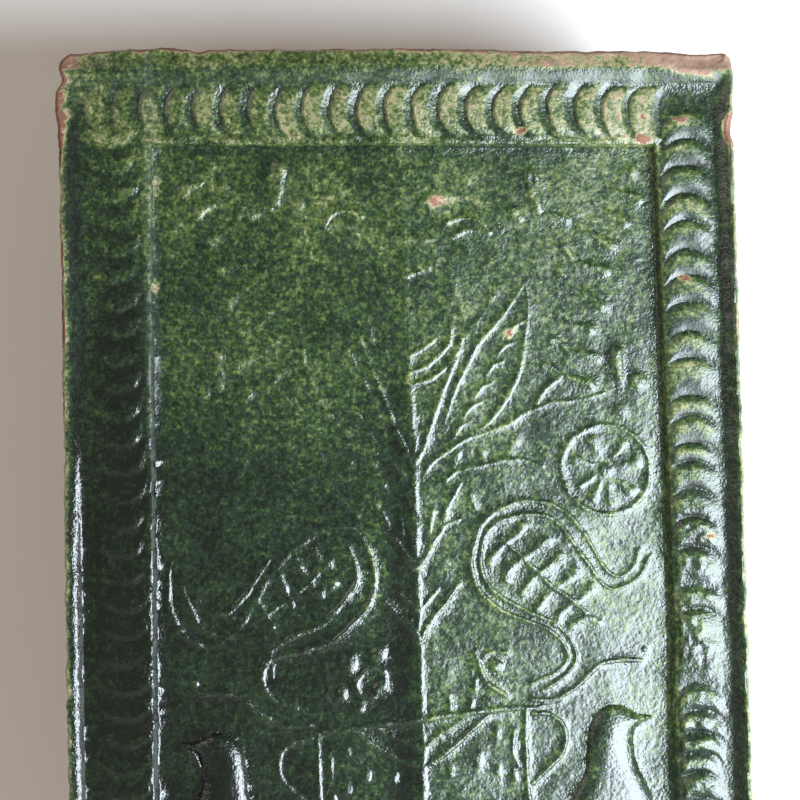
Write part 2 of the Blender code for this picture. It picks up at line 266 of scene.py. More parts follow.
# %% Tulip, drop flower and long leaf
def tulip(clay):
    clay.line([(0, 209.3), (3.5, 211.4), (7.2, 214)], 1.8, 0.6)
    outer = [(0, 204.3), (4, 206), (8.5, 209.3), (11.6, 213), (12.6, 218), (11.3, 225), (9.2, 233),
             (9.3, 242.5), (13, 248.8), (18.5, 250.3), (23, 249), (25.4, 245.8)]
    clay.line(outer[:5], 1.9, 0.65)
    clay.line(outer[3:8], 1.6, 0.14)
    clay.line(outer[6:9], 1.6, 0.12)
    clay.line(outer[8:], 1.9, 0.8)
    inner = [(0, 200.7), (4.5, 202), (9.5, 204.9), (13.5, 209), (16, 214.3), (16.5, 221), (14.5, 229),
             (13, 237), (14.3, 244.3), (19, 246.6), (25.2, 245.7)]
    clay.line(inner[:5], 2.0, 0.65)
    clay.line(inner[4:8], 1.6, 0.1)
    clay.line(inner[8:], 1.8, 0.7)
    clay.line([(6.5, 255), (12, 256.3), (18, 256.6), (23.5, 254.6), (28, 249.5), (29.3, 245)], 2.4, 0.5,
              (1.3, 0.4))
    clay.line([(0.4, 243.2), (3, 243.9), (6, 243), (9.2, 243.8)], 1.9, 0.4)
    clay.line([(0.4, 232.8), (3, 233.7), (6.8, 235.3)], 1.6, 0.45)
    clay.line([(0.5, 270), (3.2, 264), (4.8, 257), (5, 248)], 2.0, 0.12)


def drop_flower(clay):
    clay.line([(39.0, 262.5), (39.8, 257.5), (40.6, 252.8)], (6.0, 3.6), 2.3)
    clay.line([(32.8, 252.8), (34.4, 250.4)], (3.8, 3.8), 0.8)
    clay.line([(42.2, 251.2), (48.4, 249.6)], (2.6, 4.2), 1.5)
    clay.line([(50, 251.8), (52.6, 251.3)], (1.6, 2.8), 0.4)
    stem = [(40.5, 250.8), (36.9, 246.8), (34.8, 243), (31, 238.7), (28.3, 234.5), (26.8, 228.5),
            (22.5, 222), (18.6, 216.8), (13.5, 207.8), (8.5, 197), (4.7, 186.5), (0.6, 177.8)]
    clay.line(stem[:6], 1.8, 0.1)
    clay.line(stem[5:9], 1.9, 0.24)
    clay.line(stem[8:], 2.3, 0.62)


def long_leaf(clay):
    clay.line([(8.8, 186), (10, 191.5), (13.5, 200), (17.3, 207.5), (21, 213), (29, 222.7),
               (35.3, 231.5)], 1.9, 0.56, (0.5, 0.5))
    clay.line([(10, 181.5), (18, 185.8), (25.2, 192.3), (29.8, 199), (33, 206.5), (34.6, 214),
               (35.8, 224), (35.3, 231.5)], 2.2, 0.6, (0.6, 0.4))
    for barb in range(6):
        beside, up = 11.8 + 3.5 * barb, 185 + 6 * barb
        clay.line([(beside, up), (beside + 2.2, up + 3.2), (beside + 5.2, up + 4.4)], 1.7, 0.5,
                  (0.5, 0.8))


def drawn_height(*motifs):
    """Tries motifs on a small coarse net: how deep they are cut in the mould, in mm."""
    beside, up = (axis.ravel() for axis in np.meshgrid(np.arange(0.0, 76.0), np.arange(30.0, 271.0)))
    trial = Clay(beside, up, beside < 0)
    for motif in motifs:
        motif(trial)
    return round(trial.height.max(), 2)


print("The flowers at the head are cut up to", drawn_height(tulip, drop_flower, long_leaf), "mm deep")

# %% [markdown]
# ## The drawing: fern, rosette and scroll leaf
#
# Outside them a twig carries three lobes and a fern of paired leaflets. Below hangs a rosette of
# eight petals in a ring, and under it the boldest ornament of the panel: an S-shaped leaf of two
# parallel lines, with cross bars on its rib.

# %% Side flowers
def side_twig(clay):
    clay.line([(2.5, 173.8), (5.5, 177.6), (12, 182.5), (20, 185.9), (29, 189.1), (32.5, 192),
               (41, 195.2), (49, 196.2), (57.5, 198.4)], 1.9, 0.56, (0.8, 0.6))
    clay.line([(61.4, 210.4), (61.9, 203.6)], (4.8, 4.4), 1.7)
    clay.dab((67.5, 201.8), (2.9, 2.6), 1.6)
    clay.dab((62.2, 193.6), (2.4, 2.1), 0.5)
    clay.line([(9, 172.8), (14, 175.8), (21, 176.8), (28.5, 178.8), (33, 178.5), (38.3, 176.6)],
              1.7, 0.5)
    for beside, up, lean, tall in ((28.3, 179.2, 1.8, 5), (20.6, 177, -0.4, 3.6), (12, 176, 1, 4)):
        clay.line([(beside, up), (beside + 0.3 * lean, up + 0.6 * tall), (beside + lean, up + tall)],
                  (1.4, 3.4), 0.6)


def fern(clay):
    clay.line([(37.3, 195.3), (40.5, 200), (44.6, 203)], 2.0, 0.6)
    clay.line([(44.6, 203), (47.3, 210.3), (49.3, 218.5), (49.8, 229), (52.5, 240), (57, 249),
               (62, 256.5), (67, 264)], 1.7, 0.16)
    # (where the leaflet starts, its length, which way it points in degrees)
    leaflets = [(45.2, 203.3, 8.3, -20), (47.5, 210.7, 8, -15), (49.5, 218.5, 4.5, -15),
                (50, 230, 9.5, -36), (51.4, 236.9, 8.3, -17), (54.6, 246, 8, -28),
                (59.6, 252.5, 7, -28), (63.6, 258.4, 7.3, -20)]
    for number, (beside, up, long, droop) in enumerate(leaflets):
        out, rise = long * math.cos(math.radians(droop)), long * math.sin(math.radians(droop))
        clay.line([(beside, up), (beside + 0.55 * out, up + 0.45 * rise), (beside + out, up + rise)],
                  (1.6, 4.2), 1.35)
        clay.line([(beside - 0.3, up), (beside - 3, up + 2.6 + 0.25 * number),
                   (beside - 5.2 + 0.35 * number, up + 3.2 + 0.45 * number)], (1.8, 3.0),
                  0.9 - 0.06 * number)
    clay.dab((69.4, 264.2), (2.2, 1.9), 0.7)


def rosette(clay):
    """The wheel, and its print on the left, which hardly took."""
    centre = np.array([57.0, 175.5])
    # (width of the petal's outer end, the way it points in degrees)
    petals = [(5.4, 16), (3.2, 57), (4.4, 113), (4.2, 161), (2.8, 212), (3.4, 245), (3.2, 276),
              (4.8, 319)]
    for side, share in ((RIGHT, 1.0), (LEFT, 0.4)):
        clay.ring(centre, 13.2, 2.4, 0.8 * share, side)
        clay.dab(centre - (0, 0.2), (2.1, 2.0), 0.9 * share, side)
        for width, angle in petals:
            towards = np.array([math.cos(math.radians(angle)), math.sin(math.radians(angle))])
            clay.line([centre + 4.2 * towards, centre + 9.4 * towards], (1.2, width), 0.9 * share,
                      side=side)


def scroll_leaf(clay):
    outer = [(32.8, 111.6), (41, 116), (43.8, 121.5), (38, 128.3), (25, 133.3), (17.5, 140.5),
             (16.1, 151), (21, 161.2), (32, 166.3), (43, 163.8), (50, 156.5), (55.5, 146), (60, 143.6),
             (64.3, 146.5), (66, 152)]
    inner = [(36, 109.8), (44.2, 115.8), (46.3, 121.5), (41, 129.3), (29, 134.8), (20.8, 141.3),
             (18.7, 150), (21.8, 158.4), (32, 162.5), (41.5, 160), (49, 150), (55, 141.3), (59.5, 139.9),
             (65.5, 143.5), (69.8, 150)]
    clay.line(outer, 2.3, 0.9, (0.5, 0.5), RIGHT)
    clay.line(inner, 2.2, 0.85, (0.5, 0.5), RIGHT)
    clay.line([(25.3, 155.5), (35, 145.6), (49.5, 133.2)], 2.0, 0.6, side=RIGHT)
    for bar in range(5):
        beside, up = 26.8 + 4.7 * bar, 154 - 4.55 * bar
        out, rise = (4.8, 5) if bar == 0 else (6.3, 4.8)
        clay.line([(beside, up), (beside + 0.6 * out, up + 0.5 * rise), (beside + out, up + rise)],
                  (2.3, 3.7), 1.0 if bar < 3 else 0.5, side=RIGHT)
        clay.line([(beside, up), (beside - 3, up - 2.6), (beside - 5.2, up - 6)], (2.1, 3.5),
                  0.95 if bar < 3 else 0.55, side=RIGHT)
    clay.dab((21.7, 149.4), (1.3, 1.8), 0.5, RIGHT)
    clay.line([(45.5, 129), (50, 131.5), (53, 130)], 3.2, 0.5, side=RIGHT)


def left_scroll_leaf(clay):
    """The left half's own scroll leaf: four long strokes, five inside them, bars and buds."""
    # (points, width, height, how much each end is narrowed)
    strokes = [
        ([(73.1, 147.5), (74.3, 142), (74.3, 136.3), (72.5, 130.7), (69.3, 126.2), (65, 123.2)],
         2.2, 0.75, (0.4, 0.8)),
        ([(65, 123.2), (57.6, 124.5), (49.9, 134.2), (42.2, 146), (34.6, 153.4), (25.5, 158.4)],
         2.6, 0.3, (0.8, 0.7)),
        ([(25.5, 158.4), (19, 158.2), (15.3, 153.9), (12.8, 142.8), (14.7, 136.3), (20.6, 128.9),
          (25.1, 125.1)], 2.4, 0.85, (0.5, 0.8)),
        ([(25.1, 125.1), (33.4, 121.8), (44.4, 119), (47.2, 113.6), (44.7, 107.7), (37, 104.6)],
         2.4, 0.55, (0.9, 0.5)),
        ([(70.1, 141), (67.6, 134.2), (64.8, 128.9), (61, 126.5)], 1.9, 0.5, (0.5, 0.5)),
        ([(66.3, 137.2), (62.6, 133.6), (57.3, 132.4), (52, 137.5), (44, 149)], 2.0, 0.35, (0.6, 0.5)),
        ([(20, 153), (18.4, 147), (18.7, 141.8), (23.5, 135), (29.7, 130)], 2.2, 0.85, (0.6, 0.5)),
        ([(20.6, 137.4), (28.2, 130), (36.3, 126.6), (43.8, 121.9), (44.2, 113.6)], 2.2, 0.6, (0.5, 0.5)),
        ([(25, 149), (34, 140.5), (47, 131.5)], 1.8, 0.3, (1.0, 1.0)),
    ]
    for points, width, height, ends in strokes:
        clay.line(points, width, height, ends, LEFT)
    for start, end in (((36.2, 148.4), (30.3, 139.4)), ((41.4, 143.7), (37.4, 134.6)),
                       ((48.1, 136.3), (43.2, 128.9)), ((30.5, 151.6), (25.2, 145.2))):
        clay.line([start, end], (2.8, 2.0), 0.55, side=LEFT)
    for bud in ((26.4, 147.3), (25.5, 141.8), (29.6, 138.6)):
        clay.dab(bud, (1.9, 2.1), 0.8, LEFT)


def seam_leaves(clay):
    clay.line([(0.2, 146.3), (3, 150.3), (6.3, 156), (9, 159.3), (12.8, 160.8)], (2.8, 1.3), 0.85)
    clay.line([(8.4, 161), (10.3, 166), (13.6, 171.7)], (2.4, 1.1), 0.65)
    clay.line([(4.0, 157), (4.8, 163.3)], (1, 1.5), 0.4)
    clay.line([(0.2, 125.3), (3.5, 131), (8, 136.5), (12.4, 141.9)], (2.8, 1.9), 0.85)
    clay.line([(0.2, 133.8), (3, 137.2), (5.8, 140.3)], (2.1, 1.5), 0.5)
    clay.line([(16.5, 167.6), (18, 163.5)], (2.4, 1.0), 0.4)


print("The side flowers and leaves are cut up to",
      drawn_height(side_twig, fern, rosette, scroll_leaf, seam_leaves), "mm deep")

# %% [markdown]
# ## The drawing: the vase and its birds
#
# A two-handled vase stands at the foot. Small blossoms droop over its lip, and they differ from side
# to side, because the carver freshened the mould there. A bird turns away from it on each side. The
# birds are the highest relief: a gouge left their bodies full and round.

# %% Vase, blossoms and bird
def blossoms(clay):
    clay.line([(33, 107.3), (40, 107.6), (46, 111), (50.5, 115), (54.5, 118), (59, 119), (65.5, 118.6)],
              1.8, 0.6)
    clay.dab((66.8, 121.8), 1.0, 0.5)
    clay.line([(16.2, 121.5), (17.2, 117.5), (18.6, 114), (21, 111), (25, 108.3)], 2.0, 0.8, side=RIGHT)
    clay.line([(18.2, 119.5), (21, 121.2), (25.8, 121.4)], 1.6, 0.55, side=RIGHT)
    clay.dab((22.3, 117.4), (2.6, 2.4), 0.9, side=RIGHT)
    clay.line([(8.3, 108.6), (8.2, 104.8)], (1.2, 2.8), 0.7, side=RIGHT)
    clay.line([(16.3, 113), (16.4, 110.6)], (1.6, 2.2), 0.5, side=RIGHT)
    clay.line([(15.2, 107.4), (14, 103.6)], (1.4, 1.2), 0.4, side=RIGHT)
    clay.ring((14.8, 116.2), 4.2, 2.6, 0.6, side=LEFT)
    clay.dab((11.9, 114.2), 2.3, 1.1, side=LEFT)
    # (middle, half the width, half the height) of the buds and petals round the ring
    for middle, wide, tall in (((12.2, 124), 2.8, 3.0), ((21.2, 123.4), 2.9, 3.6),
                               ((23.4, 114.8), 1.6, 2.4), ((18.2, 110.6), 2.2, 2.6)):
        clay.dab(middle, (wide, tall), 0.8, side=LEFT)


def vase(clay):
    clay.line([(0, 101.4), (12, 103.2), (25, 104.5), (33, 105), (42, 106.7)], 2.4, 0.8, (1, 0.5))
    clay.line([(31, 104.6), (30.9, 92), (31.2, 78), (32.8, 68), (29, 56), (20, 47), (13.5, 41.5),
               (15.5, 36.5)], 2.0, 0.8)
    clay.line([(32.5, 103.4), (38, 103), (42, 99.5), (42.7, 95), (40.8, 90.3), (36.5, 86), (32.2, 82.4)],
              1.8, 0.7)
    clay.line([(0.3, 93), (5, 96.8), (9, 99.3), (13.2, 102.6)], 1.8, 0.65)
    clay.line([(1.2, 88), (8, 92.6), (14, 97.6), (20, 103)], 2.0, 0.75)
    clay.line([(27.6, 98), (27, 92), (28.4, 87)], (2.2, 1.2), 0.55)
    for beside, up, radius in ((16.6, 89.3, 1.7), (22.6, 86.5, 1.4), (22.2, 97.3, 1.3), (27, 84.5, 1.4),
                               (8.3, 86.5, 1.3)):
        clay.dab((beside, up), (radius, 1.5 * radius), 0.65)
    clay.line([(0, 74), (15, 75), (31, 77)], 1.8, 0.6)
    clay.line([(0, 68.5), (16, 69.5), (31.5, 71)], 1.6, 0.55)
    for drop in range(4):
        clay.line([(4 + 7 * drop, 64 + 0.4 * drop), (4.8 + 7 * drop, 58 + 0.5 * drop)],
                  (3.4 - 0.3 * drop, 1), 0.65)
    clay.line([(0, 42), (13.5, 41.7)], 1.8, 0.65)
    clay.line([(0, 36.5), (15.5, 36.5)], 2.4, 0.75)


def bird(clay):
    outline = [(68.6, 102.3), (64.6, 102.9), (61.8, 104.2), (57.6, 105.7), (53, 104), (50.2, 100),
               (49.1, 93), (48.6, 87), (46, 81), (41.5, 73), (37.5, 64), (35.5, 53), (39, 48.5), (45, 52),
               (51, 54.5), (58, 54), (64.5, 58), (69, 65), (69.8, 73), (67, 80), (63.6, 87.5),
               (62.4, 94), (63.4, 98.6), (66, 100.7)]
    clay.body(outline, 2.9, 6.5)
    clay.line([(47, 76), (54, 70), (58, 61.5), (55, 56)], 1.6, 3.1)
    clay.line([(45, 70), (51, 64.5), (53.5, 58)], 1.5, 3.0)
    for leg in (56, 61):
        clay.line([(leg, 55), (leg - 0.5, 45), (leg - 0.2, 38)], 2.0, 0.9)
        clay.line([(leg - 3.5, 36.5), (leg, 38.2), (leg + 3.5, 36.3)], 1.5, 0.7)


print("The vase is cut up to", drawn_height(vase, blossoms), "mm deep, a bird", drawn_height(bird))

# %% [markdown]
# ## Both halves of the mould
#
# The left half mirrors the right one, but the two boards of the mould had slipped: its flowers are
# narrower at the head and its bird sits lower. Its scroll leaf was cut afresh, so that one is drawn by
# itself. A raised seam shows where the boards met. The clay wasn't pressed equally well everywhere
# either: the drawing is bold at the foot and faint at the head, and faintest at the upper left.

# %% The seam
SEAM_AT_FOOT, SEAM_BOW = 3.9, 3.1
SEAM_HALF_WIDTH = 1.5


def seam_at(up):
    """The seam's place right of the slab's middle line: straight at the foot, bowed in above."""
    return SEAM_AT_FOOT - SEAM_BOW * (np.clip(up - 110.0, 0.0, None) / 160.0) ** 2


def seam_ridge(across, up):
    """The seam's height: an uneven, slightly wavering ridge that is weak at the head."""
    strayed = across - seam_at(up) + unevenness_along(up, (0.35, 7, 40), (0.2, 2.5, 41))
    section = np.clip(1 - (strayed / SEAM_HALF_WIDTH) ** 2, 0, None) ** 1.3
    broken = 0.75 + unevenness_along(up, (0.4, 9, 42), (0.3, 3, 43))
    return (0.08 + 0.36 * smooth((215 - up) / 25)) * section * broken


print("The seam runs from", seam_at(0.0), "mm right of the middle line at the foot to",
      round(seam_at(TALL), 2), "at the head")

# %% The panel's relief
LEFT_WIDTH_AT_HEAD = 0.92  # of the left flowers, for 1 on the right
LEAF_WEAKENED = 0.88
LEFT_BIRD_OUT, LEFT_BIRD_DOWN = 3.2, 8.5


def imprint(up, beside, left):
    """How well the clay took the drawing: the share of each line's height that is there."""
    near_seam = smooth((30 - beside) / 25) * smooth((215 - up) / 20)
    far_corner = smooth((beside - 34) / 8) * smooth((up - 243) / 10)
    tulip_arc = bell(oval(beside, up, 19, 250, 13, 8), 1.0)
    on_left = 0.24 + 0.5 * smooth((160 - up) / 30) - 0.34 * smooth((103 - up) / 4)
    on_left += 0.18 * near_seam + 0.14 * far_corner + 0.14 * tulip_arc
    on_right = 0.38 + 0.06 * smooth((250 - up) / 60) + 0.26 * smooth((180 - up) / 40)
    return np.clip(np.where(left, on_left, on_right), 0, 1.05)


def panel_relief(across, up):
    """The height of everything that is drawn on the panel."""
    beside = across - seam_at(up)
    left = beside < 0
    beside = np.abs(beside)
    narrower = 1 - (1 - LEFT_WIDTH_AT_HEAD) * left * (1 - smooth((190 - up) / 25))
    slipped = 11 * np.tanh(beside / 38) * smooth((235 - up) / 95) - 2 * smooth((up - 235) / 20)
    clay = Clay(beside / narrower, up + np.where(left, slipped, 0.0), left)
    for motif in (tulip, drop_flower, long_leaf, side_twig, fern, rosette, scroll_leaf, seam_leaves,
                  blossoms, vase):
        motif(clay)
    clay.height *= 1 + unevenness(across, up, (0.3, 3.1, 60), (0.2, 1.6, 61))
    clay.height *= imprint(up, beside, left)
    clay.join(slice(None), seam_ridge(across, up))

    left_leaf = Clay(beside, up, left)
    left_scroll_leaf(left_leaf)
    took = np.clip(0.8 + unevenness(across, up, (0.3, 3.1, 62), (0.3, 1.6, 63)), 0, 1.3)
    clay.join(slice(None), LEAF_WEAKENED * took * left_leaf.height)

    birds = Clay(beside - LEFT_BIRD_OUT * left, up + LEFT_BIRD_DOWN * left, left)
    bird(birds)
    # the breast line that shows on the left bird only
    birds.line([(67.5, 101.5), (64.5, 98), (62, 92), (60.8, 86), (62.5, 79)], 2.0, 0.8, (0.5, 0.8), LEFT)
    clay.join(slice(None), birds.height)
    return clay.height


probe = panel_relief(np.linspace(-70, 70, 1401), np.full(1401, 120.0))
print("Across the scroll leaves, 120 mm up, the drawing is", round(probe.max(), 2), "mm high at most")

# %% [markdown]
# ## A slab that sagged
#
# While it dried the whole slab, frame and all, sagged a little to both sides of the seam, like a
# very flat roof, which is why the two halves catch the light so differently. The left board of the
# mould also lay a little lower, and the lower right of the panel is hollow. These slopes are far too
# flat to see as shapes, but a glossy glaze shows them at once.

# %% Sagging
ROOF_RIGHT, ROOF_LEFT = 0.038, 0.030  # how steeply the slab falls away from the seam
ROOF_REACH = 73  # and how far out
HOLLOW = 0.8  # how much more at the lower right
SHOULDER = 0.55  # the left board of the mould lay this much lower at the seam


def sagged(across, up):
    """How deep the slab, frame and all, has sagged to each side of the seam."""
    beside = across - seam_at(up)
    slope = np.where(beside < 0, ROOF_LEFT, ROOF_RIGHT)
    hollow = HOLLOW * smooth((across - 48) / 27) * smooth((190 - up) / 60)
    shoulder = SHOULDER * smooth(-beside / 8) * smooth((212 - up) / 50)
    return slope * np.minimum(np.abs(beside), ROOF_REACH) + hollow + shoulder


edges = sagged(np.array([-90.0, 90.0]), np.array([150.0, 150.0]))
print("Half way up, the bands have sagged", edges.round(2), "mm")

# %% [markdown]
# ## The frame: rim, wall and lip
#
# Round the panel runs a broad frame. From outside in it has a flat rim, a slope down to the band of
# crescents, a small lip, and the wall that drops to the panel. Each side of this tile was trimmed
# differently, so each has its own profile. At the head the slope is a bead, a step and a cove.

# %% The frame's measures
PANEL_FOOT, PANEL_HEAD = 29.0, 270.8
WALL_WIDTH = {"left": 0.8, "right": 2.0, "head": 1.2, "foot": 1.4}
# and how much wider it gets for every mm down
WALL_SPREAD = {"left": 0.005, "right": 0.009, "head": 0.0, "foot": 0.0}
BAND_HEIGHT = 3.0
# (the lip's middle outside the wall, half its width, its height)
LIP = {"left": (0.7, 1.8, 0.3), "right": (0.9, 1.5, 0.0), "head": (0.8, 1.8, 0.4),
       "foot": (0.8, 1.8, 0.4)}
TIPPED_BAND = 0.06  # the right band leans in towards the panel, the left one away from it
RIM_HEIGHT, RIM_EDGE_DROP = 2.8, 1.0
# (the crest's distance from the slab's edge, width of the slope inside it)
RIM = {"left": (0.3, 4.8), "right": (1.4, 4.7), "head": (5.6, 8.7), "foot": (4.4, 5.0)}
# the head's slope is a bead, a step and a cove: shares of its width, and how far it has come down there
HEAD_STEPS = ((0, 0.07, 0.2, 0.34, 0.46, 0.52, 0.6, 0.68, 0.82, 1),
              (0, 0.02, 0.11, 0.27, 0.46, 0.62, 0.8, 0.88, 0.96, 1))
# how far the slope has come down, for a share t of its width
SLOPE = {"left": lambda t: 0.4 * t**2 + 0.6 * t**5, "right": lambda t: 1 - (1 - t) ** 1.8,
         "head": lambda t: np.interp(t, *HEAD_STEPS), "foot": lambda t: 1 - (1 - t) ** 1.9}
# the upper left rim is low and slopes evenly: mm in from the slab's edge, and the height there
GENTLE_RIM = ((0.0, 0.8, 9.0), (0.6, 0.75, 0.0))
ARRIS = 1.1  # the slab's edge is rounded this much

print("The band lies", BAND_HEIGHT, "mm over the panel, and the rim", RIM_HEIGHT, "mm over the band")

# %% The frame's profile
def panel_left(up):
    return -73.6 + 0.0113 * (up - 150)


def panel_right(up):
    """The panel's right side leans a little, and above the birds it steps out by nearly a millimetre."""
    return 75.9 - 0.012 * (up - 150) + 0.95 * smooth((up - 105) / 20)


def inward_from(across, up):
    """How far in each point lies from the slab's four edges."""
    return {"left": across + half_width(up), "right": half_width(up) - across, "head": TALL - up,
            "foot": up}


def rim_profile(side, inward):
    """Height of the outer rim over the band, at a distance inward from the slab's edge."""
    crest, slope = RIM[side]
    outer = RIM_HEIGHT - RIM_EDGE_DROP * (1 - smooth(inward / crest))
    fallen = SLOPE[side](np.clip((inward - crest) / slope, 0, 1))
    return np.where(inward < crest, outer, RIM_HEIGHT * (1 - fallen))


def wall_profile(climbed, across):
    """The share of the wall from the panel up to the band. The right wall starts more gently."""
    return smooth(climbed) ** (1 + 0.6 * smooth((across - 55) / 12))


def lip_profile(across, up, past, wall_width):
    """The small lip along the wall's upper edge, which fades out on the upper left, and how far
    past the wall each point lies."""
    sides = list(past)
    nearest = np.argmax([past[side] - wall_width[side] for side in sides], axis=0)
    middle, half, tall = np.array([LIP[side] for side in sides])[nearest].T
    tall = tall * np.where(nearest == sides.index("left"), 1 - smooth((up - 130) / 60), 1.0)
    tall = tall * (0.8 + 0.5 * wander(across, up, 2.6, 64))
    from_wall = np.maximum.reduce([past[side] - wall_width[side] for side in sides])
    return tall * np.clip(1 - ((from_wall - middle) / half) ** 2, 0, None), from_wall


def frame_profile(across, up):
    """The frame without its crescents, the share of the wall climbed, and the way past the wall."""
    past = {"left": panel_left(up) - across, "right": across - panel_right(up), "head": up - PANEL_HEAD,
            "foot": PANEL_FOOT - up}
    below_head = np.clip(PANEL_HEAD - up, 0, None)
    wall_width = {side: WALL_WIDTH[side] + WALL_SPREAD[side] * below_head for side in past}
    climbed = np.maximum.reduce([past[side] / wall_width[side] for side in past])
    inward = inward_from(across, up)
    rims = np.array([rim_profile(side, inward[side]) for side in RIM])
    gentle = np.interp(inward["left"], *GENTLE_RIM)
    left = list(RIM).index("left")
    rims[left] += smooth((up - 135) / 60) * (gentle - rims[left])
    # at the corners two rims melt into one, without piling up
    rim = np.minimum(np.cbrt((rims**3).sum(0)), np.maximum(rims.max(0), 0.97 * RIM_HEIGHT))
    wall = wall_profile(climbed, across)
    lip, from_wall = lip_profile(across, up, past, wall_width)
    height = BAND_HEIGHT * wall + rim + lip
    height += TIPPED_BAND * (np.clip(past["right"], 0, None) - np.clip(past["left"], 0, None))
    edge = np.clip(1 - np.minimum.reduce(list(inward.values())) / ARRIS, 0, 1)
    return height - ARRIS * (1 - np.sqrt(1 - edge**2)), wall, from_wall


section = frame_profile(np.linspace(-102, -70, 65), np.full(65, 60.0))[0]
print("The left side's section rises to", round(section.max(), 1), "mm over the panel")

# %% [markdown]
# ## The frame: a row of crescents
#
# The crescents were pressed one after another with the same stick, going round the frame. Each has
# a front, a thin flat crest and a slope down to the next one's front. On the right they lie like
# scales: the front is gentle and the crest rolls over. They were set by eye, so the steps vary, one
# is missing and another was pressed twice. At the lower right the clay was too dry, and they crumbled.

# %% Crescents
HEAD_STEP, OTHER_STEP = 8.05, 8.1  # from one to the next where they are even
# where each front stands, in mm over the foot (right, left) or right of the middle line (head, foot)
CRESCENTS = {
    "right": [282.5, 274.2, 266.3, 258.1, 250.0, 241.3, 233.9, 226.1, 217.2, 209.6, 198.4, 192.0, 184.4,
              178.6, 170.5, 162.2, 153.4, 142.2, 135.1, 112.7, 105.0, 98.6, 92.4, 86.6, 79.0, 71.1, 63.0,
              55.2, 47.0, 39.1, 31.0],
    "head": [68.6 - HEAD_STEP * number for number in range(21)],
    "left": [27.0 + OTHER_STEP * number for number in range(32)],
    "foot": [-86.0 + OTHER_STEP * number for number in range(21)],
}
BAND = {"right": (78.2, 94.0), "head": (273.2, 289.8), "left": (-91.6, -76.2), "foot": (10.6, 26.2)}
# (width of the front, where the crest ends, height, how far the horns lag)
CRESCENT_SHAPE = {"right": (3.2, 5.2, 1.1, 5.6), "head": (1.5, 5.6, 1.05, 5.0),
                  "left": (2.2, 3.4, 0.6, 5.0), "foot": (1.6, 3.6, 1.1, 5.0)}
# the way that each row's fronts look along their side
TOWARDS = {"right": 1, "head": -1, "left": -1, "foot": 1}
LAST_ROOM = 9.0  # behind the last front
OVERLAP = 0.6  # how far a crescent's slope runs under the next front
# how the row fades towards its ends (left to right, or foot to head) and along its length
FADE = {"right": lambda place, along: 1 - 0.75 * smooth((place - 0.15) / 0.95),
        "head": lambda place, along: 0.7 + 0.3 * smooth((along + 45) / 30),
        "left": lambda place, along: 0.6 + 0.4 * smooth((place - 0.2) / 0.6),
        "foot": lambda place, along: np.ones_like(place)}


def crescent_row(side, across, up):
    """The row's height over the band, and how far each point lies on a crest and in a scoop.
    Its fronts look up, left, down and right in turn."""
    along, aside = (up, across) if side in ("right", "left") else (across, up)
    ahead = TOWARDS[side] * along
    fronts = sorted(TOWARDS[side] * np.array(CRESCENTS[side]))[::-1]
    front_width, crest_end, height, lag = CRESCENT_SHAPE[side]
    low, high = BAND[side]
    chance = np.random.default_rng(len(side))
    row, crest, scoop = np.zeros((3, len(across)))
    for number, front in enumerate(fronts):
        room = front - fronts[number + 1] if number + 1 < len(fronts) else LAST_ROOM
        shift, taller = chance.uniform(-0.7, 0.7), chance.uniform(0.75, 1.15)
        bowed, broad = chance.uniform(0.85, 1.15), chance.uniform(0.8, 1.2)
        place = np.clip((aside - (low + high) / 2 - shift) / ((high - low) / 2), -1.0, 1.0)
        # the horns lag behind the middle on an arc, so that a crescent is drawn
        behind = front - bowed * lag * (1 - np.sqrt(1 - 0.96 * place**2)) * 1.25 - ahead
        crest_width = min(broad * crest_end, 0.7 * room)
        fallen = np.clip((behind - crest_width) / (room + OVERLAP - crest_width), 0, 1)
        faded = (1 - place**4) * FADE[side](place, along)
        step = smooth(behind / front_width)
        # on the right the crest rolls over and falls ever steeper, like the edge of a scale
        left_over = 1 - fallen**2.3 if side == "right" else 1 - smooth(fallen)
        row = np.maximum(row, taller * height * step * left_over * faded)
        inside = faded * (behind < room + OVERLAP)
        crest = np.maximum(crest, inside * step * (1 - smooth(fallen / 0.35)))
        scoop = np.maximum(scoop, inside * smooth(fallen / 0.3))
    return row, crest, scoop


print("Crescents:", {side: len(fronts) for side, fronts in CRESCENTS.items()})

# %% [markdown]
# ## Wear on the edges
#
# The rim was knocked for a century. `EDGE_WEAR` moves the outline in (or, below 0, out where clay
# squeezed past the mould), and `WORN_SPOTS` takes the surface down where the corners are rubbed and
# a flake has gone. A little raggedness runs all the way round.

# %% Edge wear
# (place along the edge, half the length, how far in; out if below 0)
EDGE_WEAR = {
    "left": [(298, 7, 0.8), (291, 4, 1.4), (284, 8, -0.8), (258, 6, 0.4), (232, 5, 0.3), (180, 8, 0.3)],
    "right": [(276, 6, 0.9), (154, 4, 0.4), (134, 5, 0.4), (243, 3, 0.3)],
    "head": [(-98, 22, 1.1), (-66, 10, -0.6), (-57.5, 4, 0.7), (50, 40, 0.5), (92, 22, 1.2)],
    "foot": [(-40, 14, 0.5), (60, 9, 0.6)],
}
EDGE_WEAR_REACH = 10.0
RAGGED, FINELY_RAGGED = 0.25, 0.15  # mm, in waves of 3.5 and 1.3 mm
# (across, up, half the width, half the height, depth)
WORN_SPOTS = [(-93, 297, 10, 5, 1.0), (92, 297, 14, 5, 1.1), (99.5, 276, 3.5, 6, 2.0)]
STEP_IN = {"left": (1, 0), "right": (-1, 0), "head": (0, -1), "foot": (0, 1)}
CORNER_RADIUS = 4.5


